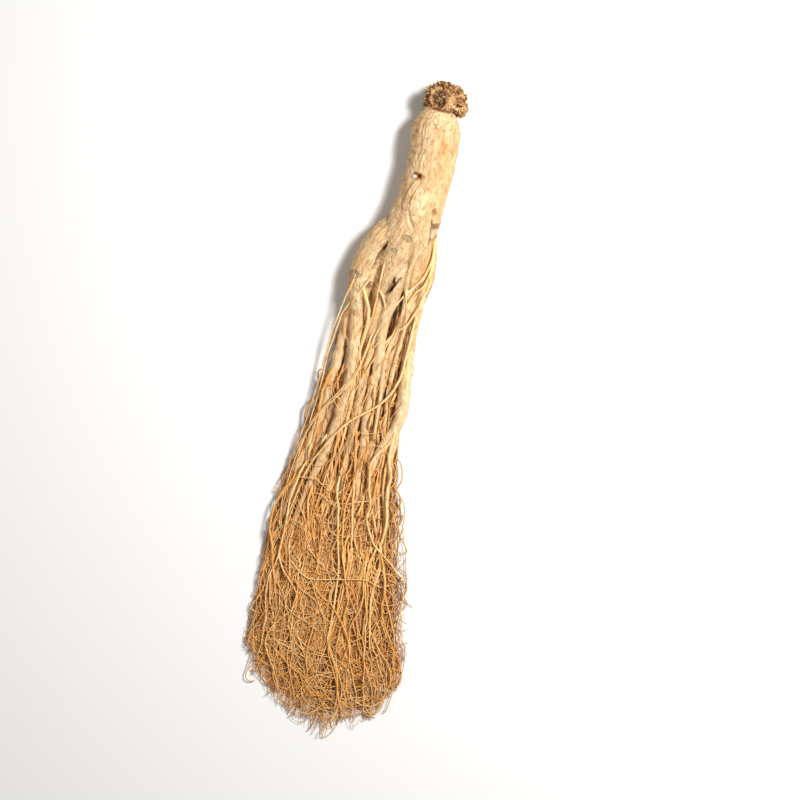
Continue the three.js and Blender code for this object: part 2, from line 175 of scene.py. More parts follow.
# Rootlets that stand out round the fork and down the beard, as (radius, [x, y, height])
PLAIN_ROOTLETS = [
    (0.5, [[-11.8, -34, 15.6], [-10.5, -37.3, 17], [-10.8, -42.7, 16.8], [-10.8, -47.3, 16.4],
           [-10.7, -51.5, 15], [-10.6, -56.7, 13], [-10.9, -64, 11.4], [-13, -80, 10],
           [-12, -104, 8.6]]),
    (0.48, [[-14.6, -46.6, 15.4], [-17.8, -52.6, 15.4], [-20.4, -57, 13.4], [-23.4, -63, 10.6],
            [-25.1, -68.2, 9], [-27, -84, 7.4], [-28, -108, 6], [-32, -140, 5]]),
    (0.38, [[-21.6, -45, 14.2], [-22.9, -51.2, 14], [-24.4, -57.2, 12], [-25.9, -64.2, 9.6],
            [-28, -78, 7.4], [-29.4, -104, 5.4], [-33, -134, 4]]),
    (0.95, [[-18.4, -51.5, 13.6], [-14.9, -58, 13.6], [-13, -62, 12.6], [-12.5, -67, 11.8],
            [-12.9, -73, 11.2], [-13.6, -84, 10.4], [-12.4, -104, 9], [-13, -130, 7.4],
            [-15, -160, 5.6]]),
    (0.46, [[-10.6, -52, 13.4], [-8.2, -54.8, 14], [-6.2, -59.3, 13], [-6.1, -64.6, 12.4],
            [-3.7, -69.3, 11.8], [-4.4, -84, 10.4], [-1, -112, 8]]),
    (0.6, [[9.2, -24, 9.6], [10, -32.4, 11], [9.1, -38.4, 12.4], [7.1, -43.8, 13.6],
           [4.4, -47.6, 14], [1.6, -51.6, 14], [-1, -56, 13], [-4.6, -63, 12.4],
           [-8.6, -76, 11], [-10, -98, 9.4]]),
    (0.55, [[9.6, -26, 8.6], [10.5, -35, 10], [10.3, -40, 11.2], [8.9, -45.9, 12],
            [5.6, -50.1, 12.4], [3, -56, 11.6], [0.8, -66, 11], [-3, -80, 10], [-7, -104, 8.4]]),
    (0.6, [[10.2, -30, 6.6], [10.9, -41.3, 9], [10.6, -46.9, 10.2], [9, -52.2, 10.8],
           [7.9, -57.4, 10.6], [4.8, -64.7, 10.4], [0, -70.3, 10.6], [-5, -80, 10.4],
           [-11, -96, 9.4], [-17, -120, 8]]),
    (0.68, [[8.4, -60, 10], [7.9, -67.2, 11], [7.3, -77.2, 11.4], [7.4, -85.6, 11],
            [5.5, -93.6, 11.4], [3.6, -98, 11.6], [-0.1, -103.2, 11.8], [-6.6, -108.4, 11.6],
            [-11.4, -112.9, 11.4], [-15.9, -118.8, 10.8], [-20.1, -125.8, 9.4],
            [-26, -140, 7], [-31, -164, 5]]),
    (0.5, [[-9.6, -72, 10.6], [-11.1, -83.8, 12.2], [-12.8, -92.2, 12.2], [-16.4, -98.3, 11.6],
           [-20.7, -104.9, 10.2], [-25.1, -111.2, 8.4], [-30, -124, 6], [-34, -150, 4]]),
    (0.42, [[-9.4, -76, 10.4], [-11.8, -85.6, 11.8], [-14.4, -93.4, 11.6], [-18.2, -99.6, 10.8],
            [-22.6, -106.4, 9], [-27, -114, 7], [-32, -130, 5]]),
    (0.8, [[10.2, -108, 7.6], [9.6, -116.5, 8.2], [9.4, -123.1, 8.4], [10.1, -127.5, 8.2],
           [12.3, -133.5, 7.8], [11.9, -138.6, 7.8], [13, -145.9, 7.2], [14.5, -153, 6.8],
           [14.4, -159.5, 6.4], [14, -164.6, 6.2], [14.5, -169.5, 6], [16.2, -175.1, 5.6],
           [15, -190, 5], [19, -212, 4]]),
    (0.6, [[9.4, -112, 7.4], [8.6, -118.4, 8.2], [3.6, -125.4, 8.6], [2.1, -130.2, 8.6],
           [2.8, -135.6, 8.2], [4.1, -141.8, 8], [6, -148.4, 7.6], [5.6, -153.4, 7.2],
           [7.9, -159.4, 7], [10.9, -164.3, 6.8], [14.6, -167.5, 6.8], [19.9, -171.4, 6.2],
           [24.2, -175.4, 5.4], [28, -180, 4.2], [29, -200, 3.4]]),
    (0.62, [[-9.8, -128, 7.4], [-10.2, -144.8, 8.4], [-8.3, -151.4, 8.2], [-6.9, -158.1, 7.8],
            [-5.5, -164.8, 7.6], [-4, -171.9, 7.2], [-2.4, -179.1, 6.8], [-1.3, -189.5, 6.2],
            [-0.5, -204.8, 5.4], [-0.1, -212.7, 5.2], [6, -223.7, 4.6], [8.8, -234.2, 4],
            [10.6, -240, 3.8], [8.6, -247.8, 3.2]]),
    (0.7, [[-4, -42, 6.4], [-1.6, -54, 6.2], [-0.4, -64, 5.6], [-1.6, -80, 5], [-1, -110, 4]]),
    (0.6, [[0, -44, 6], [-2.6, -56, 5.2], [-3.4, -68, 4.6], [-6, -90, 4], [-8, -120, 3]]),
    (0.55, [[3.6, -46, 5.4], [0.8, -58, 4.6], [-0.8, -70, 4.2], [2, -92, 4], [3, -124, 3]]),
    (0.5, [[-6, -48, 6], [-4.4, -58, 5.2], [-1.8, -66, 4.4], [-3, -84, 4], [-2, -110, 3]]),
    (0.5, [[5, -50, 4.6], [2.6, -60, 4], [1.4, -72, 3.6], [-2, -94, 3.4], [-4, -124, 3]]),
    (0.45, [[-8, -52, 5.4], [-5, -62, 4.4], [-4.4, -76, 4], [-6, -100, 3.4], [-4, -130, 3]]),
    (0.14, [[3.4, 42, 14], [6.1, 44.6, 15.4], [9.4, 44.4, 15], [13.6, 41.6, 13]]),
    (0.12, [[-2.6, 43, 15], [-4.4, 45, 15.6], [-8.6, 44.4, 14.6]]),
    (0.12, [[-6, 39, 14], [-9, 40.6, 15], [-11.4, 39.4, 14]]),
    (0.12, [[9, 37, 12], [11.4, 39.4, 12.4], [12.4, 42.6, 11.6]]),
    (0.32, [[-24, -180, 5], [-18, -184.6, 6.2], [-12.5, -185.7, 6.6], [0.9, -182.9, 7.2],
            [10.5, -181.3, 6.8], [15.8, -182.7, 6.4], [18.8, -182.8, 6], [23.3, -180.6, 5.2]]),
]


def smooth(t):
    c = np.clip(t, 0, 1)
    return c * c * (3 - 2 * c)


def rise(values, start, width):
    """0 up to the start, 1 from there on by the width, and smooth between."""
    return smooth((values - start) / width)


def ridge(values, middle, width):
    """1 at the middle, and less to both sides."""
    return np.exp(-((values - middle) / width) ** 2)


def mix(a, b, t):
    return a + (b - a) * t


def eased(values, low, high, room):
    """The values with both their limits rounded in, so that none passes them."""
    under = np.exp(np.minimum((values - low - room) / room, 0))
    values = np.where(values < low + room, low + room * under, values)
    over = np.exp(np.minimum((high - room - values) / room, 0))
    return np.where(values > high - room, high - room * over, values)


def hashed(ix, iy, iz, seed):
    """A repeatable value from 0 to 1 for each corner of a lattice."""
    h = (ix * 374761393 + iy * 668265263 + iz * 974634777 + seed * 1013904223) & 0xFFFFFFFF
    h = ((h ^ (h >> 13)) * 1274126177) & 0xFFFFFFFF
    return ((h ^ (h >> 16)) & 0xFFFFFF) / 0xFFFFFF


def swells(points, seed):
    """Smooth noise from -1 to 1 at each point, with swells about one unit across."""
    cell = np.floor(points).astype(np.int64)
    f = smooth(points - cell)
    total = np.zeros(len(points))
    for corner in range(8):
        step = [corner & 1, (corner >> 1) & 1, corner >> 2]
        weight = np.ones(len(points))
        for k in range(3):
            weight *= f[:, k] if step[k] else 1 - f[:, k]
        total += weight * hashed(*(cell[:, k] + step[k] for k in range(3)), seed)
    return 2 * total - 1


def swells_at(x, y, z, seed):
    """The same noise, where each coordinate may be one number for all the points."""
    return swells(np.column_stack(np.broadcast_arrays(x, y, z)), seed)


def veins(noise, width):
    """1 along the lines where the noise passes through zero, and 0 away from them."""
    return np.clip(1 - np.abs(noise) / width, 0, 1)


def far_from(places, centre, size):
    """How far each place is from a centre, where 1 is the size of the egg round it."""
    return np.linalg.norm((places - centre) / size, axis=1)


def line_through(points, count):
    """count places on a smooth curve through the points, at even shares of their number."""
    p = np.asarray(points, float)
    p = np.vstack([2 * p[0] - p[1], p, 2 * p[-1] - p[-2]])
    u = np.linspace(0, len(points) - 1, count)
    i = np.minimum(u.astype(int), len(points) - 2)
    f = (u - i)[:, None]
    a, b, c, d = p[i], p[i + 1], p[i + 2], p[i + 3]
    return 0.5 * (2 * b + (c - a) * f + (2 * a - 5 * b + 4 * c - d) * f ** 2
                  + (3 * b - a - 3 * c + d) * f ** 3)


def evenly(points, spacing):
    """The smooth curve through the points again, with places that far apart."""
    fine = line_through(points, 24 * len(points))
    run = np.concatenate([[0], np.cumsum(np.linalg.norm(np.diff(fine[:, :3], axis=0), axis=1))])
    at = np.linspace(0, run[-1], max(4, round(run[-1] / spacing)))
    placed = np.column_stack([np.interp(at, run, fine[:, k]) for k in range(fine.shape[1])])
    return placed, at


def directions(centres):
    """The way a line runs at each of its places, and the two directions square to it."""
    forward = np.gradient(centres, axis=-2)
    forward /= np.linalg.norm(forward, axis=-1, keepdims=True)
    across = np.cross(forward, [0, 0, 1.0])
    across /= np.maximum(np.linalg.norm(across, axis=-1, keepdims=True), 1e-6)
    return forward, across, np.cross(across, forward)


# Blender's own steps, and what a piece's mesh keeps

def only(piece):
    bpy.ops.object.select_all(action="DESELECT")
    piece.select_set(True)
    bpy.context.view_layer.objects.active = piece


def join(pieces, name):
    only(pieces[0])
    for piece in pieces[1:]:
        piece.select_set(True)
    bpy.ops.object.join()
    made = bpy.context.object
    made.name = name
    made.data.name = name
    return made


def with_modifier(piece, kind, **settings):
    only(piece)
    bpy.ops.object.modifier_add(type=kind)
    modifier = piece.modifiers[-1]
    for key, value in settings.items():
        setattr(modifier, key, value)
    bpy.ops.object.modifier_apply(modifier=modifier.name)


def places_of(piece):
    flat = np.empty(3 * len(piece.data.vertices))
    piece.data.vertices.foreach_get("co", flat)
    return flat.reshape(-1, 3) / MM


def normals_of(piece):
    flat = np.empty(3 * len(piece.data.vertices), np.float32)
    piece.data.vertex_normals.foreach_get("vector", flat)
    return flat.reshape(-1, 3).astype(float)


def put_places(piece, places):
    piece.data.vertices.foreach_set("co", (places * MM).ravel())
    piece.data.update()


def put_looks(piece, grain, values):
    """What the materials read: the places of the grain, and each value from 0 to 1."""
    made = piece.data.attributes.new("grain", "FLOAT_VECTOR", "POINT")
    made.data.foreach_set("vector", np.asarray(grain, np.float32).ravel())
    for name in VALUES:
        made = piece.data.attributes.new(name, "FLOAT", "POINT")
        given = np.clip(values.get(name, np.zeros(len(grain))), 0, 1)
        made.data.foreach_set("value", given.astype(np.float32))


def no_values(count):
    return {name: np.zeros(count) for name in VALUES}


def lift(values, name, amounts):
    """One of the values, raised to at least these amounts."""
    values[name] = np.maximum(values[name], amounts)


def mesh_of(name, places, faces):
    mesh = bpy.data.meshes.new(name)
    mesh.from_pydata((np.asarray(places) * MM).tolist(), [], faces)
    mesh.validate()
    piece = bpy.data.objects.new(name, mesh)
    bpy.context.collection.objects.link(piece)
    return piece


def grown_together(pieces, name, voxel, rounds):
    """The pieces as one even skin, smoothed where they meet."""
    piece = join(pieces, name)
    with_modifier(piece, "REMESH", mode="VOXEL", voxel_size=voxel * MM)
    with_modifier(piece, "SMOOTH", factor=0.5, iterations=rounds)
    return piece, places_of(piece), normals_of(piece)


def wear(piece, material):
    """The last touches to any piece: its finish, its body and the solid it stands for."""
    piece.data.materials.clear()
    piece.data.materials.append(material)
    only(piece)
    bpy.ops.object.shade_smooth()
    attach(piece, "root")
    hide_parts(NODE)


# Materials

# The dark stain colour, which also paints shade into the creases and between the crumbs of the stem
# cups
STAIN_AND_SHADE_COLOUR = (0.13, 0.033, 0.012, 1)
PALE_COLOUR = (0.97, 0.92, 0.83, 1)
MOSS_COLOUR = (0.4, 0.32, 0.17, 1)
FLOOR_COLOUR = (0.9, 0.895, 0.885, 1)

# The light, straw, tan and deep colours of each skin. The deep brown paints shade under rootlets
# and in wrinkles and hollows, and also colours cracks and some brown marks
ROOT_COLOURS = [(0.87, 0.745, 0.505, 1), (0.83, 0.605, 0.335, 1), (0.75, 0.43, 0.18, 1),
                (0.4, 0.15, 0.04, 1)]
ROOTLET_COLOURS = [(1.0, 0.82, 0.54, 1), (0.97, 0.64, 0.26, 1), (0.86, 0.42, 0.085, 1),
                   (0.3, 0.08, 0.01, 1)]
HEAD_COLOURS = [(0.84, 0.6, 0.33, 1), (0.66, 0.4, 0.17, 1), (0.46, 0.21, 0.07, 1),
                (0.11, 0.036, 0.011, 1)]


def node(tree, kind, inputs=None, **settings):
    made = tree.nodes.new(kind)
    for key, value in settings.items():
        setattr(made, key, value)
    for socket, value in (inputs or {}).items():
        if isinstance(value, bpy.types.NodeSocket):
            tree.links.new(value, made.inputs[socket])
        else:
            made.inputs[socket].default_value = value
    return made


def sum_of(tree, operation, *values):
    return node(tree, "ShaderNodeMath", dict(enumerate(values)), operation=operation).outputs[0]


def weighed(tree, *pairs):
    """The sum of two masks, each given with its share."""
    parts = [sum_of(tree, "MULTIPLY", mask, share) for mask, share in pairs]
    return sum_of(tree, "ADD", *parts)


def blended(tree, share, a, b):
    colours = {0: share, 6: a, 7: b}
    return node(tree, "ShaderNodeMix", colours, data_type="RGBA").outputs[2]


def ranged(tree, value, low, high, to_low=0.0, to_high=1.0):
    inputs = {0: value, 1: low, 2: high, 3: to_low, 4: to_high}
    return node(tree, "ShaderNodeMapRange", inputs).outputs[0]


def value_of(tree, name):
    return node(tree, "ShaderNodeAttribute", attribute_name=name).outputs["Fac"]


def grain_group():
    """Broken streaks that run along the root, softer blotches, and the height of the fine skin."""
    tree = bpy.data.node_groups.new("Lengthwise grain", "ShaderNodeTree")
    tree.interface.new_socket("Place", in_out="INPUT", socket_type="NodeSocketVector")
    tree.interface.new_socket("Fineness", in_out="INPUT", socket_type="NodeSocketFloat")
    given = node(tree, "NodeGroupInput")
    sized = node(tree, "ShaderNodeVectorMath", {0: given.outputs[0], 3: given.outputs[1]},
                 operation="SCALE").outputs[0]

    def streaked(scale, seed, detail, roughness):
        placed = node(tree, "ShaderNodeMapping",
                      {"Vector": sized, "Scale": scale, "Location": (seed, seed * 2.3, seed * 3.1)})
        inputs = {"Vector": placed.outputs[0], "Scale": 1.0, "Detail": detail,
                  "Roughness": roughness}
        return node(tree, "ShaderNodeTexNoise", inputs).outputs["Fac"]

    fine = streaked((1.15, 1.15, 0.32), 3.0, 3.0, 0.66)
    broad = streaked((0.5, 0.5, 0.08), 11.0, 3.0, 0.55)
    specks = streaked((1.9, 1.9, 1.1), 23.0, 2.0, 0.6)
    rings = streaked((0.22, 0.22, 1.4), 31.0, 3.0, 0.6)
    blotches = streaked((0.13, 0.13, 0.06), 47.0, 3.0, 0.5)
    streaks = weighed(tree, (fine, 0.62), (broad, 0.38))
    cracks = sum_of(tree, "MAXIMUM", ranged(tree, fine, 0.54, 0.64),
                    ranged(tree, rings, 0.64, 0.72, 0.0, 0.6))
    cracks = sum_of(tree, "MULTIPLY", cracks, ranged(tree, specks, 0.3, 0.62))
    height = sum_of(tree, "SUBTRACT", weighed(tree, (specks, 0.3), (streaks, 0.7)),
                    sum_of(tree, "MULTIPLY", cracks, 0.5))
    flecks = sum_of(tree, "MULTIPLY", ranged(tree, specks, 0.54, 0.66), 0.55)
    masks = {"Streaks": streaks, "Cracks": cracks, "Specks": flecks, "Blotches": blotches,
             "Height": height}
    for name in masks:
        tree.interface.new_socket(name, in_out="OUTPUT", socket_type="NodeSocketFloat")
    node(tree, "NodeGroupOutput", masks)
    return tree


def root_material(name, grain, colours, fineness, bump, roughness=0.78, specular=0.28):
    """Dried root: light and straw-coloured streaks, tan blotches, and a deep brown, painted shade
    where it lies under other rootlets or in a crease."""
    material = bpy.data.materials.new(name)
    material.use_nodes = True
    tree = material.node_tree
    tree.nodes.clear()
    light, straw, tan, deep = colours
    place = node(tree, "ShaderNodeAttribute", attribute_name="grain").outputs["Vector"]
    skin = node(tree, "ShaderNodeGroup", node_tree=grain)
    tree.links.new(place, skin.inputs["Place"])
    skin.inputs["Fineness"].default_value = fineness
    blotches = sum_of(tree, "SUBTRACT", skin.outputs["Blotches"], 0.5)
    warmth = sum_of(tree, "ADD", sum_of(tree, "MULTIPLY", blotches, 1.6), value_of(tree, "tone"))
    colour = blended(tree, ranged(tree, skin.outputs["Streaks"], 0.38, 0.6), light, straw)
    # The deep value paints shade in the deep colour, and the stain value paints stains and the
    # shade in creases
    for share, over in (
            (ranged(tree, warmth, 0.0, 1.0), tan),
            (skin.outputs["Specks"], tan),
            (sum_of(tree, "MULTIPLY", skin.outputs["Cracks"], 0.52), deep),
            (value_of(tree, "deep"), deep),
            (value_of(tree, "pale"), PALE_COLOUR),
            (value_of(tree, "moss"), MOSS_COLOUR),
            (value_of(tree, "stain_and_shade"), STAIN_AND_SHADE_COLOUR)):
        colour = blended(tree, share, colour, over)
    height = node(tree, "ShaderNodeBump", {"Height": skin.outputs["Height"], "Strength": 1.0,
                                           "Distance": bump * MM})
    shine = ranged(tree, skin.outputs["Streaks"], 0.3, 0.7, roughness - 0.08, roughness + 0.1)
    shader = node(tree, "ShaderNodeBsdfPrincipled", {
        "Base Color": colour, "Roughness": shine, "Normal": height.outputs[0],
        "Specular IOR Level": specular})
    node(tree, "ShaderNodeOutputMaterial", {0: shader.outputs[0]})
    return material


def floor_material():
    material = bpy.data.materials.new("pale_floor")
    material.use_nodes = True
    shader = material.node_tree.nodes["Principled BSDF"]
    shader.inputs["Base Color"].default_value = FLOOR_COLOUR
    shader.inputs["Roughness"].default_value = 0.9
    return material


# The body and the upper legs, grown together into one skin

UPPER_SIDE_Z = 6  # creases and marks are made above it
POINTS_AT_ONCE = 20000
LIMBS_APART = 40  # between one limb's grain and the next one's, so that no two look alike


def limb_tube(limb):
    """A closed tube along a limb, drawn as a curve with its own radius at each point. The body is
    a little flatter than round, and a leg ends where the slim tubes go on."""
    placed, _ = evenly(limb, 1.2)
    if limb is not BODY:
        placed = placed[placed[:, 1] > LEGS_LEAVE_Y - SKIN_OVERLAP]
        end = smooth((placed[:, 1] - LEGS_LEAVE_Y + SKIN_OVERLAP) / LEG_TAPER)
        placed[:, 3] *= mix(0.5, 1, end)
    bpy.ops.object.select_all(action="DESELECT")
    bpy.ops.curve.primitive_bezier_curve_add(location=(0, 0, 0))
    curve = bpy.context.object.data
    curve.splines.clear()
    spline = curve.splines.new("POLY")
    spline.points.add(len(placed) - 1)
    for point, (x, y, z, radius) in zip(spline.points, placed):
        point.co = (x * MM, y * MM, z * MM, 1)
        point.radius = radius
    curve.dimensions = "3D"
    curve.twist_mode = "Z_UP"
    curve.bevel_depth = MM
    curve.bevel_resolution = 6
    curve.use_fill_caps = True
    bpy.ops.object.convert(target="MESH")
    piece = bpy.context.object
    if limb is BODY:
        places = places_of(piece)
        height = np.interp(-places[:, 1], -placed[:, 1], placed[:, 2])
        places[:, 2] = height + (places[:, 2] - height) * BODY_FLATNESS
        put_places(piece, places)
    return piece


def grain_of(points, limbs):
    """Each point's place round and along the limb whose skin it is nearest to, and that limb's
    radius there."""
    best = np.full(len(points), np.inf)
    grain = np.zeros((len(points), 3))
    radius = np.zeros(len(points))
    for number, limb in enumerate(limbs):
        placed, run = evenly(limb, 1.0)
        centres = placed[:, :3]
        forward, across, over = directions(centres)
        for low in range(0, len(points), POINTS_AT_ONCE):
            some = slice(low, low + POINTS_AT_ONCE)
            p = points[some]
            apart = (p ** 2).sum(1)[:, None] + (centres ** 2).sum(1)[None] - 2 * p @ centres.T
            j = apart.argmin(1)
            gap = np.abs(np.sqrt(np.maximum(apart[np.arange(len(p)), j], 0)) - placed[j, 3])
            nearer = gap < best[some]
            off = p - centres[j]
            along = (off * forward[j]).sum(1) + run[j] + LIMBS_APART * number
            found = np.column_stack([(off * across[j]).sum(1), (off * over[j]).sum(1), along])
            grain[some][nearer] = found[nearer]
            radius[some][nearer] = placed[j, 3][nearer]
            best[some][nearer] = gap[nearer]
    return grain, radius


def near_line(points, line):
    """How far each point is in plan from a bent line, and how far along it, from 0 to 1."""
    placed = line_through(np.asarray(line, float)[:, :2], 40)
    apart = np.hypot(points[:, :1] - placed[:, 0], points[:, 1:2] - placed[:, 1])
    return apart.min(1), apart.argmin(1) / (len(placed) - 1)


# Creases on the upper side, as (half width, depth, [x, y])
CREASES = [
    (0.75, 2.4, [[-11.5, -30.8], [-12.4, -34], [-13.6, -38], [-14.7, -43.9]]),
    (0.8, 2.6, [[-5, -46], [-5.6, -50.4], [-7.6, -54.4]]),
    (0.6, 2.0, [[-2, -45.2], [-3.9, -48.3], [-6, -51.4]]),
    (0.45, 0.7, [[-5.2, -14.4], [-3.6, -18.4], [-0.8, -22.4], [0.6, -25]]),
    (0.4, 0.5, [[-2.2, -1.2], [-3.4, -4.4], [-5.2, -9], [-5.4, -12.6]]),
    (0.5, 1.2, [[6.2, -16.8], [6.9, -20], [7, -25.6], [7.2, -29.4]]),
    (0.3, 0.3, [[-3.7, -16.6], [0.2, -17.2], [2.7, -18]]),
    (0.3, 0.3, [[1.5, -26.4], [3.4, -27.6], [5.6, -29.8], [6.8, -29.6]]),
    (0.28, 0.22, [[-9.9, -19.6], [-7.6, -21], [-5.2, -20.4]]),
    (0.3, 0.25, [[-14.6, -31], [-12.6, -26.6], [-10.4, -24]]),
    (0.35, 0.35, [[-19.9, -52.4], [-17.4, -50], [-14.2, -49.8], [-12.2, -51.6]]),
    (0.3, 0.3, [[-20.6, -58.6], [-18.6, -60], [-16.6, -59.6]]),
]

MARK_TILT = math.radians(13)
# Marks on the upper side, as (x, y, half width, half length, sunk by, value, which value)
MARKS = [
    (-3.7, 1.0, 1.1, 1.15, 1.3, 0.95, "stain_and_shade"),
    (-3.6, 1.0, 3.0, 2.1, -0.15, 0.85, "deep"),
    (-5.5, 0.5, 1.0, 0.85, -0.5, 0.9, "pale"),
    (-4.7, 2.2, 0.6, 0.5, -0.4, 0.7, "stain_and_shade"),
    (6.3, -13.4, 1.3, 1.7, 0.4, 0.5, "stain_and_shade"),
    (6.4, -13.4, 2.0, 2.2, -0.3, 0.3, "deep"),
    (6.0, -13.9, 0.6, 0.8, -0.25, 0.3, "pale"),
    (7.9, -19.2, 1.0, 2.1, 0.35, 0.68, "stain_and_shade"),
    (7.3, -17.7, 0.45, 0.6, -0.25, 0.5, "pale"),
    (8.3, -20.4, 0.4, 0.5, -0.2, 0.35, "pale"),
    (8.9, -23.6, 0.6, 2.3, -0.5, 0.7, "deep"),
    (9.6, -18, 1.1, 2.6, -0.3, 0.45, "deep"),
    (-2.7, -27.4, 2.4, 1.6, 0.12, 0.8, "moss"),
    (-7.3, -33.5, 1.6, 1.1, 0.1, 0.75, "moss"),
    (-7.0, -33.9, 0.45, 0.35, -0.1, 0.9, "pale"),
    (-22.7, -47.4, 2.6, 2.1, 0.1, 0.75, "moss"),
    (-15.3, -51, 1.5, 1.9, 0.45, 0.6, "stain_and_shade"),
    (-15.6, -51.6, 2.6, 2.9, -0.2, 0.4, "deep"),
    (-18.6, -64.6, 3.2, 1.6, 0.2, 0.5, "deep"),
    (-1.6, 9.4, 0.7, 0.6, 0.05, 0.2, "stain_and_shade"),
    (8.6, 14.6, 1.5, 0.22, 0.1, 0.35, "stain_and_shade"),
    (2.6, -9.6, 0.9, 0.5, 0.06, 0.22, "stain_and_shade"),
    (-9.6, 8.4, 0.8, 0.25, 0.08, 0.35, "stain_and_shade"),
]


def body_relief(grain, radius, places):
    """How far the skin stands out or sinks in: flutes, wrinkles, rings and lumps."""
    thick = np.clip(radius / 6, 0.35, 1)
    flutes = 0.22 * swells(grain / [4.2, 4.2, 26], 5)
    lumps = 0.42 * swells(places / 9.5, 6) + 0.3 * swells(places / 3.6, 7)
    patchy = smooth(0.5 + 0.9 * swells(grain / [5, 5, 10], 10))
    wrinkles = -0.26 * veins(swells(grain / [1.5, 1.5, 7], 8), 0.3) * mix(0.3, 1, patchy)
    wrinkles -= 0.2 * veins(swells(grain / [0.8, 0.8, 3.2], 9), 0.36) * mix(0.5, 1, patchy)
    upper = mix(0.35, 1, rise(places[:, 1], -12, 22))
    rings = -0.2 * veins(swells(grain / [6, 6, 1.1], 12), 0.2) * upper * mix(0.1, 1, 1 - patchy)
    return thick * (flutes + lumps + wrinkles + rings), wrinkles + rings


def creased(places, relief, values, upper):
    """Cuts the creases into the skin, with a low rim beside each, and paints shade into each
    crease, darker where the crease is deeper.
    """
    for half_width, depth, line in CREASES:
        apart, share = near_line(places, line)
        ragged = half_width * (1 + 0.35 * swells(places / 1.3, 16))
        ends = np.sin(math.pi * np.clip(share, 0.04, 0.96)) ** 0.5
        cut = np.clip(1 - apart / (ragged * ends * 1.7 + 0.05), 0, 1) ** 1.3 * upper
        relief -= depth * cut
        relief += 0.16 * ridge(apart, 2 * half_width, half_width) * upper * ends
        # Painted shade: dark in the crease, darker the deeper it cuts
        lift(values, "stain_and_shade", np.clip(cut ** 2 * min(1, depth) * 1.2, 0, 0.92))


def marked(places, relief, values, upper):
    """Adds the marks. A greenish scar has a rim round it and a pale stripe across."""
    for x, y, wide, long, sunk, amount, which in MARKS:
        across = (places[:, 0] - x) * math.cos(MARK_TILT) - (places[:, 1] - y) * math.sin(MARK_TILT)
        along = (places[:, 0] - x) * math.sin(MARK_TILT) + (places[:, 1] - y) * math.cos(MARK_TILT)
        power = 1.35 if which == "moss" else 2
        far = (np.abs(across / wide) ** power + np.abs(along / long) ** power) ** (1 / power)
        far = far * (1 + 0.22 * swells(places / 0.8, 17))
        hit = (1 - rise(far, 0.55, 0.6)) * upper
        relief -= sunk * hit
        lift(values, which, amount * hit)
        if which == "moss":
            rim = ridge(far, 0.92, 0.2) * upper
            relief += 0.16 * rim
            lift(values, "stain_and_shade", 0.42 * rim)
            lift(values, "pale", 0.5 * ridge(along, 0, 0.3) * (far < 0.7) * upper)


def grown_body(material):
    limbs = [BODY, *[leg for leg in LEGS if leg is not RIGHT_FORK]]
    pieces = [limb_tube(limb) for limb in limbs]
    piece, places, normals = grown_together(pieces, "ginseng_body", BODY_VOXEL, 7)
    grain, radius = grain_of(places, limbs)
    relief, wrinkles = body_relief(grain, radius, places)
    values = no_values(len(places))
    values["tone"] += 0.28 + 0.25 * swells(places / 14, 15)
    # Painted shade: darker down in the wrinkles and rings
    values["deep"] += np.clip(-wrinkles * 1.1, 0, 0.4)
    upper = rise(normals[:, 2], -0.1, 0.3) * (places[:, 2] > UPPER_SIDE_Z)
    creased(places, relief, values, upper)
    marked(places, relief, values, upper)
    # The spur on the left shoulder, and the pale chip beside it
    spur = far_from(places, [-11.3, 23.9, AXIS_Z + 1], [1.6, 1.5, 3])
    relief += 1.1 * (1 - smooth(spur))
    chip = far_from(places, [-11, 21.6, AXIS_Z + 2.4], [1.2, 0.9, 1.6])
    lift(values, "pale", 1 - rise(chip, 0.5, 0.5))
    # The dark ring where the head meets the shoulder
    neck = smooth((places[:, 1] - 30.9 - 0.5 * swells(places / 1.1, 18)) / 1.1)
    neck *= rise(places[:, 0], -5, 2.4) * (0.95 + 0.4 * swells(places / 1.6, 19))
    lift(values, "stain_and_shade", neck)
    places = places + normals * relief[:, None]
    places[:, 2] = np.clip(places[:, 2], 0, BODY_TOP_Z)
    put_places(piece, places)
    put_looks(piece, grain, values)
    wear(piece, material)


# The head: the stub of rhizome that each year's stem left a scar on

# Lumps as [x, y, height, radius across, radius along, radius in height]
HEAD_LUMPS = [
    [1.6, 34.6, AXIS_Z + 0.3, 7, 3.4, 6],
    [-2, 38.2, AXIS_Z + 1.6, 5.6, 5.4, 5.6],
    [4.6, 39, AXIS_Z, 5.2, 4.6, 5],
    [7.8, 36.6, AXIS_Z - 1.6, 3.6, 3, 3.6],
    [-1, 43, AXIS_Z - 0.6, 3.6, 3.2, 3.8],
    [5.2, 42.4, AXIS_Z - 1.8, 2.8, 2.6, 3],
    [8.8, 33.2, AXIS_Z + 1.2, 2.2, 2.1, 2.4],
    [-5.6, 33, AXIS_Z + 0.4, 2.2, 2, 2.6],
]
# Cups left by fallen stems as [x, y, height, radius, how deep]
STEM_SCARS = [
    [-1.8, 37, AXIS_Z + 6.4, 3.9, 1.5],
    [5.4, 41.9, AXIS_Z + 3, 1.5, 1.1],
    [4.2, 44.4, AXIS_Z + 0.4, 1.4, 0.8],
    [7.8, 36.2, AXIS_Z + 2, 0.9, 0.7],
    [7.3, 34.3, AXIS_Z + 3, 0.8, 0.6],
    [9.5, 33.1, AXIS_Z + 3.2, 0.7, 0.5],
    [-2.4, 36, AXIS_Z - 5, 2.6, 1.2],
    [6.4, 37, AXIS_Z - 5, 1.9, 1],
]
# The places that the head's scales stand away from: the great scar, the right-hand lobe and a
# place low in the head
SCALE_CENTRES = np.array([[-1.4, 37, AXIS_Z + 3.5], [5.8, 38.4, AXIS_Z], [2, 35, AXIS_Z - 3]])
SCALES = 290
SCALE_POINTS = 16  # the points of each scale


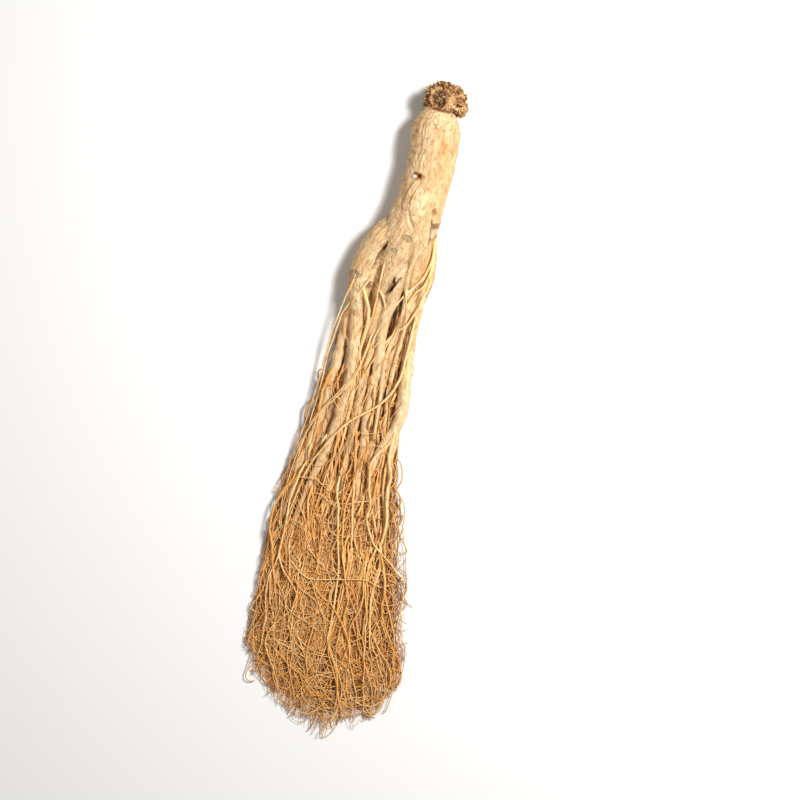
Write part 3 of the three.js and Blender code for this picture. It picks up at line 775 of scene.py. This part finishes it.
def head_scales(places, normals):
    """Frayed scales of bark that stand off the head round its scars, as one mesh. Each is a
    thin bent blade, wide at its foot and ragged at its tip."""
    rng = np.random.default_rng(SEED)
    pick = rng.choice(len(places), SCALES, replace=False)
    points = []
    faces = []
    for at in pick:
        here = places[at]
        nearest = min(SCALE_CENTRES, key=lambda c: np.linalg.norm(here - c))
        away = here - nearest
        out = 0.75 * normals[at] + 0.8 * away / np.linalg.norm(away) + rng.normal(0, 0.3, 3)
        out /= np.linalg.norm(out)
        side = np.cross(out, normals[at] + rng.normal(0, 0.4, 3))
        side /= np.linalg.norm(side)
        flat = np.cross(side, out)
        tall = rng.uniform(0.8, 2.1) * mix(1, 0.45, rise(here[0], 4.5, 3))
        wide = rng.uniform(0.4, 0.95)
        bent = rng.normal(0.15, 0.3)
        thin = rng.uniform(0.07, 0.14)
        k = len(points)
        for share, width in ((-0.25, 1), (0.25, 1.05), (0.65, 0.75), (1, rng.uniform(0.25, 0.7))):
            middle = here + out * tall * share + flat * bent * tall * share * abs(share)
            middle = middle + side * wide * rng.normal(0, 0.18)
            points.extend([middle + side * wide * width, middle + flat * thin,
                           middle - side * wide * width, middle - flat * thin])
        faces.append((k, k + 1, k + 2, k + 3))
        for row in (k, k + 4, k + 8):
            for j in range(4):
                i = (j + 1) % 4
                faces.append((row + j, row + 4 + j, row + 4 + i, row + i))
        faces.append((k + 12, k + 15, k + 14, k + 13))
    made = mesh_of("scales", points, faces)
    only(made)
    bpy.ops.object.mode_set(mode="EDIT")
    bpy.ops.mesh.select_all(action="SELECT")
    bpy.ops.mesh.normals_make_consistent(inside=False)
    bpy.ops.object.mode_set(mode="OBJECT")
    rng = np.random.default_rng(SEED)
    shades = np.repeat(rng.uniform(0, 1, SCALES), SCALE_POINTS)
    up_scale = np.tile(np.repeat([0, 0.35, 0.75, 1], 4), SCALES)
    put_looks(made, places_of(made), {
        "tone": 0.75 * shades,
        # Painted shade: darkest at each scale's foot, fading towards its tip
        "deep": mix(0.75, 0.05, up_scale) * mix(0.6, 1.1, shades),
        "stain_and_shade": 0.4 * (shades > 0.88),
        "pale": 0.5 * (shades < 0.1) * up_scale,
    })
    return made


def head_skin(places):
    """The crust of the head and its colours, plainer on the smooth lobe beside the great scar."""
    values = no_values(len(places))
    relief = 0.55 * swells(places / 2.3, 21) + 0.4 * swells(places / 1.1, 22)
    crust = swells(places / [0.6, 0.9, 0.6], 23)
    relief += 0.26 * crust + 0.16 * np.abs(swells(places / 0.42, 24))
    shelves = swells(places / [3.2, 0.9, 3.2], 25)
    relief += 0.36 * rise(shelves, -0.15, 0.25) - 0.18
    # Painted shade: deep brown in the crust's hollows, less on its raised crumbs
    hollows = np.clip(-relief / 0.7, 0, 1)
    values["deep"] += np.clip(0.1 + 0.9 * hollows - 0.5 * crust, 0, 0.9)
    values["stain_and_shade"] += 0.6 * rise(swells(places / 1.3, 27), 0.42, 0.2)
    values["pale"] += 0.55 * rise(swells(places / 0.9, 28), 0.62, 0.12)
    values["tone"] += 0.35 + 0.5 * swells(places / 1.7, 29)
    plain = 1 - rise(far_from(places, [3.6, 36.6, AXIS_Z + 4.6], [2.4, 4, 3.4]), 0.5, 0.6)
    relief *= 1 - 0.6 * plain
    for name in ("tone", "deep", "stain_and_shade"):
        values[name] *= 1 - 0.75 * plain
    return relief, values, plain


def cupped(places, relief, values):
    """The relief with the stem scars in it, each a crumbly cup with a raised rim. Inside each cup
    shade is painted in deep brown, and darker still between the crumbs.
    """
    for number, (x, y, z, radius, deep) in enumerate(STEM_SCARS):
        far = far_from(places, [x, y, z], [1, 1.25, 1.2]) / radius
        far = far * (1 + 0.1 * swells(places / 1.2, 30))
        cup = 1 - rise(far, 0.74, 0.2)
        rim = ridge(far, 1.05, 0.13)
        crumbs = swells(places / 0.85, 31 + number)
        bits = swells(places / 0.55, 41 + number)
        level = 1 - 0.85 * cup
        relief = relief * level - deep * cup + cup * (0.45 * crumbs + 0.2 * bits) + 0.7 * rim
        for name in ("deep", "stain_and_shade", "pale", "tone"):
            values[name] *= (1 - cup) * (1 - 0.8 * rim)
        # Painted shade: deep brown inside the cup
        values["deep"] += 0.85 * cup
        values["moss"] = np.maximum(values["moss"] * (1 - rim), 0.5 * cup * smooth(crumbs / 0.2))
        # Painted shade: darker where the crumbs sink
        values["stain_and_shade"] += 0.9 * cup * smooth((-0.1 - crumbs) / 0.2)
        values["pale"] += 0.75 * cup * rise(bits, 0.45, 0.1)
        values["tone"] += 0.45 * rim
    return relief


def grown_head(material):
    lumps = []
    for x, y, z, across, along_y, high in HEAD_LUMPS:
        bpy.ops.object.select_all(action="DESELECT")
        bpy.ops.mesh.primitive_ico_sphere_add(subdivisions=4, radius=MM)
        lumps.append(bpy.context.object)
        bpy.ops.object.mode_set(mode="EDIT")
        bpy.ops.transform.resize(value=(across, along_y, high))
        bpy.ops.transform.translate(value=(x * MM, y * MM, z * MM))
        bpy.ops.object.mode_set(mode="OBJECT")
    piece, places, normals = grown_together(lumps, "ginseng_head", HEAD_VOXEL, 4)
    relief, values, plain = head_skin(places)
    relief = cupped(places, relief, values)
    # The dark ring at the head's foot, left open on the right
    foot = (1 - rise(places[:, 1], 32, 1.4)) * (1 - rise(places[:, 0], 5.8, 1.2))
    foot = foot * rise(places[:, 0], -5, 2.4) * (0.9 + 0.4 * swells(places / 1.6, 26))
    lift(values, "stain_and_shade", foot)
    places = places + normals * relief[:, None]
    put_places(piece, places)
    put_looks(piece, places, values)
    bare = (places[:, 1] > 33) & (plain < 0.4)
    for x, y, z, radius, _ in STEM_SCARS:
        bare &= far_from(places, [x, y, z], 1) >= 1.1 * radius
    piece = join([piece, head_scales(places[bare], normals[bare])], "ginseng_head")
    places = places_of(piece)
    places[:, 1] = eased(places[:, 1], -99, HEAD_END_Y, 0.5)
    put_places(piece, places)
    wear(piece, material)


# Legs and rootlets, as tubes round lines of places

OFF_FLOOR = 0.02  # no part of a rootlet lies lower
FINEST = 0.09  # the least radius of a fine rootlet
GATHERED = 0.8  # the share of fine rootlets that gather in locks
TUCKED = 0.95  # the share of them that go under the legs they cross
KINKS = ((11, 0.55), (4.6, 0.3), (2.3, 0.14))  # the length of each kind of kink, and its share


def tubes(name, lines, sides, material, tones, painted_shades, ripple):
    """One mesh of closed tubes. lines holds (places, radii) for each, tones a warmer tone for each,
    and the list after the tones the shade painted on each place, darker the deeper it lies in the
    pile."""
    corner = np.arange(sides)
    after = (corner + 1) % sides
    turn = corner * TAU / sides
    points = []
    quads = []
    caps = []
    grain = []
    tone = []
    deep = []
    first = 0
    for number, (places, radii) in enumerate(lines):
        count = len(places)
        forward, across, over = directions(places)
        steps = np.linalg.norm(np.diff(places, axis=0), axis=1)
        run = np.repeat(np.concatenate([[0], np.cumsum(steps)]), sides)
        cos = np.tile(np.cos(turn), count)
        sin = np.tile(np.sin(turn), count)
        ring = np.column_stack([cos * 2.3, sin * 2.3, run / 3.1 + number * 7.7])
        rough = swells(ring, 41) + 0.55 * swells(ring * [2.1, 2.1, 1.7], 43)
        wide = np.repeat(radii, sides) * (1 + ripple * rough)
        around = (np.repeat(across, sides, 0) * cos[:, None]
                  + np.repeat(over, sides, 0) * sin[:, None])
        points += [np.repeat(places, sides, 0) + around * wide[:, None],
                   [places[0] - forward[0] * radii[0] * 0.6],
                   [places[-1] + forward[-1] * radii[-1] * 1.4]]
        skin = np.column_stack([wide * cos + number * 3.7, wide * sin - number * 5.3, run])
        for kept, own in ((grain, skin),
                          (tone, np.repeat(np.broadcast_to(tones[number], count), sides)),
                          (deep, np.repeat(np.broadcast_to(painted_shades[number], count), sides))):
            kept += [own, own[:1], own[-1:]]
        rows = (np.arange(count - 1) * sides)[:, None] + first
        quads.append(np.stack([rows + corner, rows + sides + corner, rows + sides + after,
                               rows + after], -1).reshape(-1, 4))
        top = first + count * sides
        last = top - sides
        caps.append(np.column_stack([corner * 0 + top, first + corner, first + after]))
        caps.append(np.column_stack([corner * 0 + top + 1, last + after, last + corner]))
        first = top + 2
    everything = np.vstack(points)
    everything[:, 2] = np.maximum(everything[:, 2], OFF_FLOOR)
    piece = mesh_of(name, everything, np.vstack(quads).tolist() + np.vstack(caps).tolist())
    # The deep value carries the painted shade of each place.
    put_looks(piece, np.vstack(grain), {"tone": np.concatenate(tone),
                                        "deep": np.concatenate(deep)})
    wear(piece, material)


def beard_at(y):
    """The beard's middle, half width and depth of pile at each y."""
    down = -BEARD[:, 0]
    return [np.interp(-y, down, BEARD[:, k]) for k in (1, 2, 3)]


def rounded_pile(across, depth):
    """How deep the pile is at each share of its half width away from its middle."""
    return depth * (1 - PILE_ROUNDING * np.clip(np.abs(across), 0, 1) ** 2)


# The shade painted on the legs and rootlets follows this depth.
def depth_in_pile(places):
    """0 on top of the beard and 1 deep down in its pile, and less again on its underside."""
    middle, half, depth = beard_at(places[:, 1])
    pile = rounded_pile((places[:, 0] - middle) / half, depth)
    buried = np.clip(1 - places[:, 2] / (pile + 1.2), 0, 1)
    return buried * mix(0.55, 1, rise(places[:, 2], 0.35, 0.9))


def lower_legs(material):
    lines = []
    for leg in LEGS:
        placed, _ = evenly(leg, 0.9)
        if leg is not RIGHT_FORK:
            placed = placed[placed[:, 1] < LEGS_LEAVE_Y + LEG_OVERLAP]
            start = smooth((LEGS_LEAVE_Y + LEG_OVERLAP - placed[:, 1]) / LEG_TAPER)
            placed[:, 3] *= mix(0.5, 1.04, start)
        wander = swells_at(placed[:, 1] / 9, 3.3 * len(lines), 0, 42)
        placed[:, 0] += 0.5 * wander * rise(-placed[:, 1], 84, 12)
        lines.append((placed[:, :3], placed[:, 3]))
    tones = [0.05 + 0.3 * rise(-places[:, 1], 100, 90) for places, _ in lines]
    # Painted shade: darker the deeper a leg lies in the beard's pile
    painted_shades = [0.3 * depth_in_pile(places) ** 1.3 for places, _ in lines]
    tubes("ginseng_legs", lines, 16, material, tones, painted_shades, 0.2)


class Draws:
    """The solid's own repeatable draws, so that its rootlets fall where they do there."""

    def __init__(self, seed):
        self.state = seed

    def draw(self):
        self.state = (self.state * 1664525 + 1013904223) % 2 ** 32
        return self.state / 2 ** 32


def solid_rootlet(start, radius, lane, layer, end_y, draws):
    """One of the solid's rootlets, as it is placed there."""
    phase = draws.draw() * TAU
    swing = ROOTLET_WAVE * mix(0.5, 1, draws.draw())
    turns = mix(1.6, 3, draws.draw())
    s = np.linspace(0, 1, ROOTLET_STEPS + 1)
    y = mix(start[1], end_y, s)
    middle, half, depth = beard_at(y)
    r = mix(radius, ROOTLET_END_RADIUS, s)
    sideways = swing * np.sin(phase + turns * TAU * s) * smooth(s * 3)
    upwards = 0.4 * swing * np.cos(phase + turns * TAU * s) * smooth(s * 3)
    x = mix(start[0], middle + half * lane, smooth(s * 2.2)) + sideways
    low = r + CLEARANCE
    z = np.maximum(low, mix(start[2], low + layer * depth, smooth(s * 1.6)) + upwards)
    return np.column_stack([x, y, z, r])


def solid_rootlets():
    draws = Draws(SEED)
    made = []
    for leg, count, lane in SHEDDING:
        fine = line_through(leg, SHED_PLACES)
        radii = np.interp(np.linspace(0, len(leg) - 1, SHED_PLACES), np.arange(len(leg)),
                          [p[3] for p in leg])
        for j in range(count):
            t = mix(0.24, 0.86, j / count) + 0.02 * draws.draw()
            at = round(t * (SHED_PLACES - 1))
            side = 1 if j % 2 else -1
            spread = mix(0.34, 0.08, j / count) * mix(0.7, 1.2, draws.draw())
            wanted = max(-1, min(1, lane + side * spread))
            furthest = TIP_Y + TIP_ROUNDING * wanted * wanted + TIP_SCATTER * draws.draw()
            end_y = max(furthest, fine[at, 1] - ROOTLET_LENGTH * mix(0.85, 1.4, draws.draw()))
            thick = min(0.8, radii[at] * 0.62) * mix(0.85, 1.15, draws.draw())
            made.append(solid_rootlet(fine[at, :3], thick, wanted, draws.draw(), end_y, draws))
    return made


def crimped(placed, run, rng, amount, wander=0.0):
    """A line with the small kinks that a rootlet dries with, and with how far it wanders from
    side to side lower down."""
    size = amount * smooth(run / 12)
    slow = swells_at(run / 21, rng.uniform(0, 99), 0, 53)
    placed[:, 0] += wander * rise(-placed[:, 1], 110, 80) * smooth(run / 40) * slow
    for length, share in KINKS:
        for axis, part in ((0, 1), (2, 0.5)):
            kinks = swells_at(run / length, rng.uniform(0, 99), 0, 51)
            placed[:, axis] += part * size * share * kinks
    return placed


def main_rootlets(material):
    """The solid's rootlets and the ones that stand out in the photo, kinked and drawn fine."""
    rng = np.random.default_rng(SEED + 1)
    lines = []
    tones = []
    for rough in solid_rootlets():
        placed, run = evenly(rough, 1.5)
        placed = crimped(placed, run, rng, 1.2, 5.5)
        placed[:, 2] = tucked_under(placed)
        radii = np.clip(placed[:, 3], 0.2, 1) * mix(1, 0.6, run / run[-1])
        lines.append(keep_in(placed[:, :3], radii))
        tones.append(rng.uniform(0, 0.7) + 0.2 * rise(-placed[:, 1], 90, 150))
    for radius, points in PLAIN_ROOTLETS:
        placed, run = evenly(points, 1.2)
        placed = crimped(placed, run, rng, 0.5)
        uneven = 1 + 0.1 * swells_at(run / 6, radius * 90, 0, 52)
        radii = radius * (1 - 0.55 * (run / run[-1])) * uneven
        lines.append(keep_in(placed, radii, STRAY))
        tones.append(rng.uniform(0, 0.15))
    # Painted shade: darker the deeper a rootlet lies in the beard's pile
    painted_shades = [0.6 * depth_in_pile(places) ** 1.3 for places, _ in lines]
    tubes("beard_main_rootlets", lines, 7, material, tones, painted_shades, 0.14)


def edge_of_beard(x):
    """Where the beard ends at each x: rounded, further out in its middle."""
    lane = (x - 2) / 37
    return TIP_Y + 2 + TIP_ROUNDING * lane * lane


def keep_in(places, radii, upper_stray=-2):
    """The line drawn back, from its start on, by as much as it strays past the beard's outline,
    and no two lines to quite the same place. Beside the legs it may only come to upper_stray."""
    margin = radii.max() + 0.15
    stray = mix(upper_stray, STRAY, rise(-places[:, 1], 110, 60))
    share = np.linspace(0, 1, len(places))
    inset = 12 * ((places[0, 0] * 37.1 + places[-1, 1] * 17.3) % 1) ** 2
    middle, half, _ = beard_at(places[:, 1])
    left = np.maximum(LEFT_LIMIT + margin, middle - half - stray)
    right = np.minimum(RIGHT_LIMIT - margin, middle + half + stray)
    ragged = 5 * swells_at(places[:, 0] / 4.5, 0, 0, 62)
    low = edge_of_beard(places[:, 0]) + 3 + ragged + margin
    for axis, sign, limit in ((0, 1, right), (0, -1, left), (1, -1, low)):
        past = sign * (places[:, axis] - limit)
        worst = past.argmax()
        if past[worst] > 0:
            draw = smooth(share / max(share[worst], 0.25))
            places[:, axis] -= sign * (past[worst] + inset) * draw
    places[:, 0] = eased(places[:, 0], LEFT_LIMIT + margin, RIGHT_LIMIT - margin, 1)
    places[:, 1] = eased(places[:, 1], TIP_Y + 1.6 + margin, 60, 1)
    places[:, 2] = np.maximum(places[:, 2], radii + 0.05)
    return places, radii


# A map of heights, seen from above
MAP_STEP = 0.5
MAP_CORNER = np.array([-45, -262])
MAP_SQUARES = (180, 640)


def heights_of_legs():
    """How high the body and the legs stand in each square of the map."""
    tops = np.zeros(MAP_SQUARES)
    for limb in (BODY, *LEGS):
        for x, y, z, r in evenly(limb, 0.8)[0]:
            low = ((np.array([x, y]) - MAP_CORNER - r) / MAP_STEP).astype(int)
            i, j = np.mgrid[0:int(2 * r / MAP_STEP) + 2, 0:int(2 * r / MAP_STEP) + 2]
            i = np.clip(i + low[0], 0, MAP_SQUARES[0] - 1)
            j = np.clip(j + low[1], 0, MAP_SQUARES[1] - 1)
            across = MAP_CORNER[0] + i * MAP_STEP - x
            along = MAP_CORNER[1] + j * MAP_STEP - y
            above = r ** 2 - across ** 2 - along ** 2
            height = np.where(above > 0, z + np.sqrt(np.maximum(above, 0)), 0)
            tops[i, j] = np.maximum(tops[i, j], height)
    return tops


LEG_TOPS = heights_of_legs()


def top_of_legs(places):
    """How high the body and the legs stand under each place."""
    at = ((places[:, :2] - MAP_CORNER) / MAP_STEP + 0.5).astype(int)
    return LEG_TOPS[np.clip(at[:, 0], 0, MAP_SQUARES[0] - 1),
                    np.clip(at[:, 1], 0, MAP_SQUARES[1] - 1)]


def evened(heights, times):
    """The heights, each drawn towards its neighbours that many times."""
    for _ in range(times):
        wide = np.pad(heights, 1, mode="edge")
        heights = (wide[:-2] + 2 * heights + wide[2:]) / 4
    return heights


def tucked_under(places):
    """The line's heights, where it goes under the legs that it crosses."""
    over = top_of_legs(places) * rise(places[:, 1], -175, 30)
    low = np.where(over > 0.5, np.minimum(places[:, 2], 0.45 * over), places[:, 2])
    return evened(low, 2)


def draped(places, radii):
    """The line's heights, lifted over the legs that it crosses and taut between them."""
    lifted = np.maximum(places[:, 2], top_of_legs(places) + radii)
    for _ in range(2):
        wide = np.pad(lifted, 1, mode="edge")
        lifted = np.maximum(lifted, np.maximum(wide[:-2], wide[2:]) - 0.35)
    return evened(lifted, 3)


def trails(rng, starts, headings, lanes, layers, lengths, steps, curls, wild):
    """Lines that set out from their starts and fall into their lanes, waving as they go.
    Headings are turns from straight down the root, and curls how far each tip bends round."""
    number = len(starts)
    x = starts[:, 0].copy()
    y = starts[:, 1].copy()
    step = lengths / (steps - 1)
    phases = rng.uniform(0, TAU, (number, 4))
    long_wave = rng.uniform(60, 130, number)
    middle_wave = rng.uniform(20, 42, number)
    short_wave = rng.uniform(7, 13, number)
    kinks = rng.normal(0, 1, (steps, number)) * (rng.uniform(0, 1, (steps, number)) < 0.1)
    bend = np.zeros(number)
    drift = rng.normal(0, 0.16, number)
    heading = headings.copy()
    out = np.zeros((number, steps, 3))
    for k in range(steps):
        share = k / (steps - 1)
        s = step * k
        middle, half, depth = beard_at(y)
        lane = np.clip(lanes + drift * share, -1.04, 1.04)
        lock = np.round(lane * LOCKS)
        sway = 2.4 * np.sin(TAU * y / 96 + lock * 2.4) + 1.3 * np.sin(TAU * y / 41 + lock * 4.1)
        pull = np.arctan2(middle + half * lane + sway - x, 24)
        heading = mix(heading, pull, np.clip(step / 13, 0, 1))
        loose = rise(-y, 105, 110)
        bend = bend * np.exp(-step / 8) + 0.45 * kinks[k] * wild
        turn = heading + bend + wild * (
            0.2 * np.sin(TAU * s / long_wave + phases[:, 0])
            + mix(0.1, 0.32, loose) * np.sin(TAU * s / middle_wave + phases[:, 1])
            + mix(0.08, 0.34, loose) * np.sin(TAU * s / short_wave + phases[:, 2]))
        turn = turn + curls * rise(share, 0.6, 0.4)
        across = (x - middle) / half
        pile = rounded_pile(across, depth)
        pile = pile * (0.78 + 0.34 * swells_at(across * 2 * LOCKS, y / 34, 0, 61))
        ride = 0.25 + layers * pile + 0.5 * np.sin(TAU * s / middle_wave + phases[:, 3])
        out[:, k] = np.column_stack([x, y, mix(starts[:, 2], ride, smooth(s / 26))])
        x = x + step * np.sin(turn)
        y = y - step * np.cos(turn)
    return out


def fine_rootlets(name, material, parents, seed, count, reach, radius, steps, sides, wild, curl,
                  layering):
    """Fine rootlets that part from their parents, which are legs or thicker rootlets. The layering
    says how they share out between the bottom of the pile and its top."""
    rng = np.random.default_rng(seed)
    pick = rng.integers(0, len(parents), count)
    starts = np.zeros((count, 3))
    thick = np.zeros(count)
    for k, parent in enumerate(pick):
        places, radii, low, high = parents[parent]
        at = min(int(len(places) * rng.uniform(low, high)), len(places) - 1)
        starts[k] = places[at]
        thick[k] = radii[at]
    middle, half, _ = beard_at(starts[:, 1])
    lanes = (starts[:, 0] - middle) / half + rng.normal(0, 0.3, count)
    turn_back = rng.uniform(0.82, 1.02, count)
    lanes -= 2 * np.sign(lanes) * np.maximum(np.abs(lanes) - turn_back, 0)
    lanes = np.clip(lanes, -1, 1)
    locks = np.round(lanes * LOCKS) / LOCKS
    gathered = rng.uniform(0, 1, count) < GATHERED
    lanes = np.where(gathered, mix(lanes, locks, 0.82), lanes)
    layers = rng.beta(*layering, count)
    end = edge_of_beard(middle + half * lanes) + np.minimum(rng.exponential(17, count), 70)
    lengths = np.minimum(rng.uniform(*reach, count), (starts[:, 1] - end) * 1.03)
    lengths = np.maximum(lengths, reach[0] * 0.3)
    curls = rng.normal(0, curl, count)
    wildness = wild * rng.uniform(0.4, 1.6, count)
    headings = rng.normal(0, 0.5, count)
    out = trails(rng, starts, headings, lanes, layers, lengths, steps, curls, wildness)
    under = rng.uniform(0, 1, count) < TUCKED
    share = np.linspace(0, 1, steps)
    lines = []
    for k in range(count):
        if under[k]:
            out[k][:, 2] = tucked_under(out[k])
        begin = min(rng.uniform(*radius), 0.85 * thick[k])
        radii = np.maximum(mix(begin, 0.45 * begin, share ** 1.4), FINEST)
        lines.append(keep_in(out[k], radii))
    tones = [tone * 0.7 + 0.16 * rise(-places[:, 1], 90, 150) * (0.4 + tone)
             for tone, (places, _) in zip(rng.beta(1.1, 1.3, count), lines)]
    # Painted shade: darker the deeper a rootlet lies in the beard's pile
    painted_shades = [0.95 * smooth(1.1 * depth_in_pile(places)) ** 1.2 for places, _ in lines]
    tubes(name, lines, sides, material, tones, painted_shades, 0.1)
    return lines


def loose_rootlets(name, material, seed, count, highest, spread, reach, radius, head_off, slowly,
                   quickly, round_to):
    """Rootlets that lie loose over the rest. Each heads off from straight down the root, bends
    slowly and quickly as it goes, and comes round at its end."""
    rng = np.random.default_rng(seed)
    lines = []
    tones = []
    for _ in range(count):
        y = highest - spread * rng.beta(1.4, 1.1)
        middle, half, _ = beard_at(y)
        x = middle + half * rng.uniform(-0.95, 0.95)
        length = rng.uniform(*reach)
        steps = round(length / 2)
        step = length / (steps - 1)
        s = np.linspace(0, length, steps)
        phase = rng.uniform(0, 999)
        slow = swells_at(s / 17, phase, 0, 54)
        quick = swells_at(s / 5, phase, 9, 55)
        bend = rng.normal(0, round_to) * smooth(s / length)
        turn = rng.normal(0, head_off) + slowly * slow + quickly * quick + bend
        places = np.column_stack([x + np.cumsum(np.sin(turn)) * step,
                                  y - np.cumsum(np.cos(turn)) * step, s * 0])
        radii = mix(rng.uniform(*radius), 0.12, s / length)
        places, radii = keep_in(places, radii)
        middle, half, depth = beard_at(places[:, 1])
        across = np.clip(np.abs(places[:, 0] - middle) / half, 0, 1.3)
        pile = rounded_pile(across, depth) * smooth((1.3 - across) / 0.3)
        places[:, 2] = np.maximum(0.3, pile * rng.uniform(0.75, 1.1)) + 0.3 * quick
        ends = smooth(np.minimum(s, length - s) / 7)
        places[:, 2] = draped(places, radii) * mix(0.6, 1, ends)
        lines.append(keep_in(places, radii))
        tones.append(rng.beta(1, 2))
    # Painted shade: darker the deeper a rootlet lies in the beard's pile
    painted_shades = [0.4 * depth_in_pile(places) for places, _ in lines]
    tubes(name, lines, 4, material, tones, painted_shades, 0.1)


def parents_of(legs, low, high):
    """The legs as lines that rootlets part from, between two shares of their length."""
    made = []
    for leg in legs:
        placed, _ = evenly(leg, 1.5)
        made.append((placed[:, :3], placed[:, 3], low, high))
    return made


def main():
    grain = grain_group()
    body_look = root_material("body_skin", grain, ROOT_COLOURS, 1.0, 0.45)
    leg_look = root_material("leg_skin", grain, ROOT_COLOURS, 1.25, 0.25)
    rootlet_look = root_material("rootlet_skin", grain, ROOTLET_COLOURS, 1.6, 0.12, 0.8, 0.08)
    head_look = root_material("head_skin", grain, HEAD_COLOURS, 1.4, 0.3)
    grown_body(body_look)
    grown_head(head_look)
    lower_legs(leg_look)
    main_rootlets(rootlet_look)
    legs = parents_of([MIDDLE_LEG, LEFT_LEG, OUTER_LEFT_LEG, FRONT_LEG, RIGHT_LEG,
                       LONG_RIGHT_LEG, UNDER_LEG, RIGHT_BULGE], 0.16, 0.8)
    legs += parents_of([RIGHT_FORK], 0.05, 0.8)
    first = fine_rootlets(
        "beard_rootlets_a", rootlet_look, legs, SEED + 2, count=325, reach=(90, 190),
        radius=(0.26, 0.5), steps=58, sides=5, wild=0.85, curl=0.9, layering=(1.2, 1.1))
    parents = legs + [(places, radii, 0.05, 0.7) for places, radii in first]
    fine_rootlets(
        "beard_rootlets_b", rootlet_look, parents, SEED + 3, count=480, reach=(60, 160),
        radius=(0.2, 0.36), steps=48, sides=4, wild=1.0, curl=1.6, layering=(1.5, 0.8))
    parents = legs + [(places, radii, 0.2, 0.95) for places, radii in first]
    fine_rootlets(
        "beard_hairs", rootlet_look, parents, SEED + 4, count=600, reach=(30, 90),
        radius=(0.16, 0.25), steps=34, sides=3, wild=1.35, curl=2.8, layering=(2.2, 0.6))
    loose_rootlets(
        "beard_loops", rootlet_look, SEED + 5, count=190, highest=TIP_Y + 124, spread=104,
        reach=(35, 110), radius=(0.18, 0.32), head_off=0.7, slowly=1.1, quickly=0.5, round_to=2.4)
    loose_rootlets(
        "beard_upper_strays", rootlet_look, SEED + 6, count=26, highest=-42, spread=80,
        reach=(25, 80), radius=(0.15, 0.26), head_off=0.32, slowly=0.7, quickly=0.35, round_to=0.8)


# The floor, the light and the camera

CAMERA_OVER = (8.95, -98.4)  # the place that the middle of the picture looks down on
CAMERA_ROLL = math.radians(12)
PICTURE_WIDTH = 360  # what the picture shows across, at the height of the body's axis
LENS = 100
SENSOR = 36
# Each softbox as (name, how far it stands from the place looked at, size, power)
SOFTBOXES = [
    ("key_softbox", (320, 290, 605), 190, 5.7),
    ("fill_softbox", (-420, -60, 640), 700, 0.85),
]


def softbox(name, away, size, energy):
    """A square lamp that looks at the place under the camera."""
    target = np.array([*CAMERA_OVER, 0])
    place = target + away
    bpy.ops.object.light_add(type="AREA", location=place * MM)
    lamp = bpy.context.object
    lamp.name = name
    lamp.data.shape = "SQUARE"
    lamp.data.size = size * MM
    lamp.data.energy = energy
    way = target - place
    flat = math.hypot(way[0], way[1])
    lamp.rotation_euler = (math.atan2(flat, -way[2]), 0, math.atan2(-way[0], way[1]))


def studio():
    bpy.ops.object.select_all(action="DESELECT")
    bpy.ops.mesh.primitive_plane_add(size=4, location=(0, 0, 0))
    floor = bpy.context.object
    floor.name = "floor"
    floor.data.materials.append(floor_material())
    for name, away, size, energy in SOFTBOXES:
        softbox(name, away, size, energy)
    world = bpy.data.worlds.new("studio")
    bpy.context.scene.world = world
    world.use_nodes = True
    back = world.node_tree.nodes["Background"]
    back.inputs["Color"].default_value = (1, 0.98, 0.95, 1)
    back.inputs["Strength"].default_value = 0.2
    x, y = CAMERA_OVER
    height = AXIS_Z + PICTURE_WIDTH * LENS / SENSOR
    bpy.ops.object.camera_add(location=(x * MM, y * MM, height * MM), rotation=(0, 0, CAMERA_ROLL))
    camera = bpy.context.object
    camera.data.lens = LENS
    camera.data.sensor_width = SENSOR
    camera.data.clip_start = 0.01
    camera.data.clip_end = 10
    bpy.context.scene.camera = camera
    view = bpy.context.scene.view_settings
    view.view_transform = "Standard"
    view.exposure = 0.22
    view.gamma = 0.86


studio()
main()
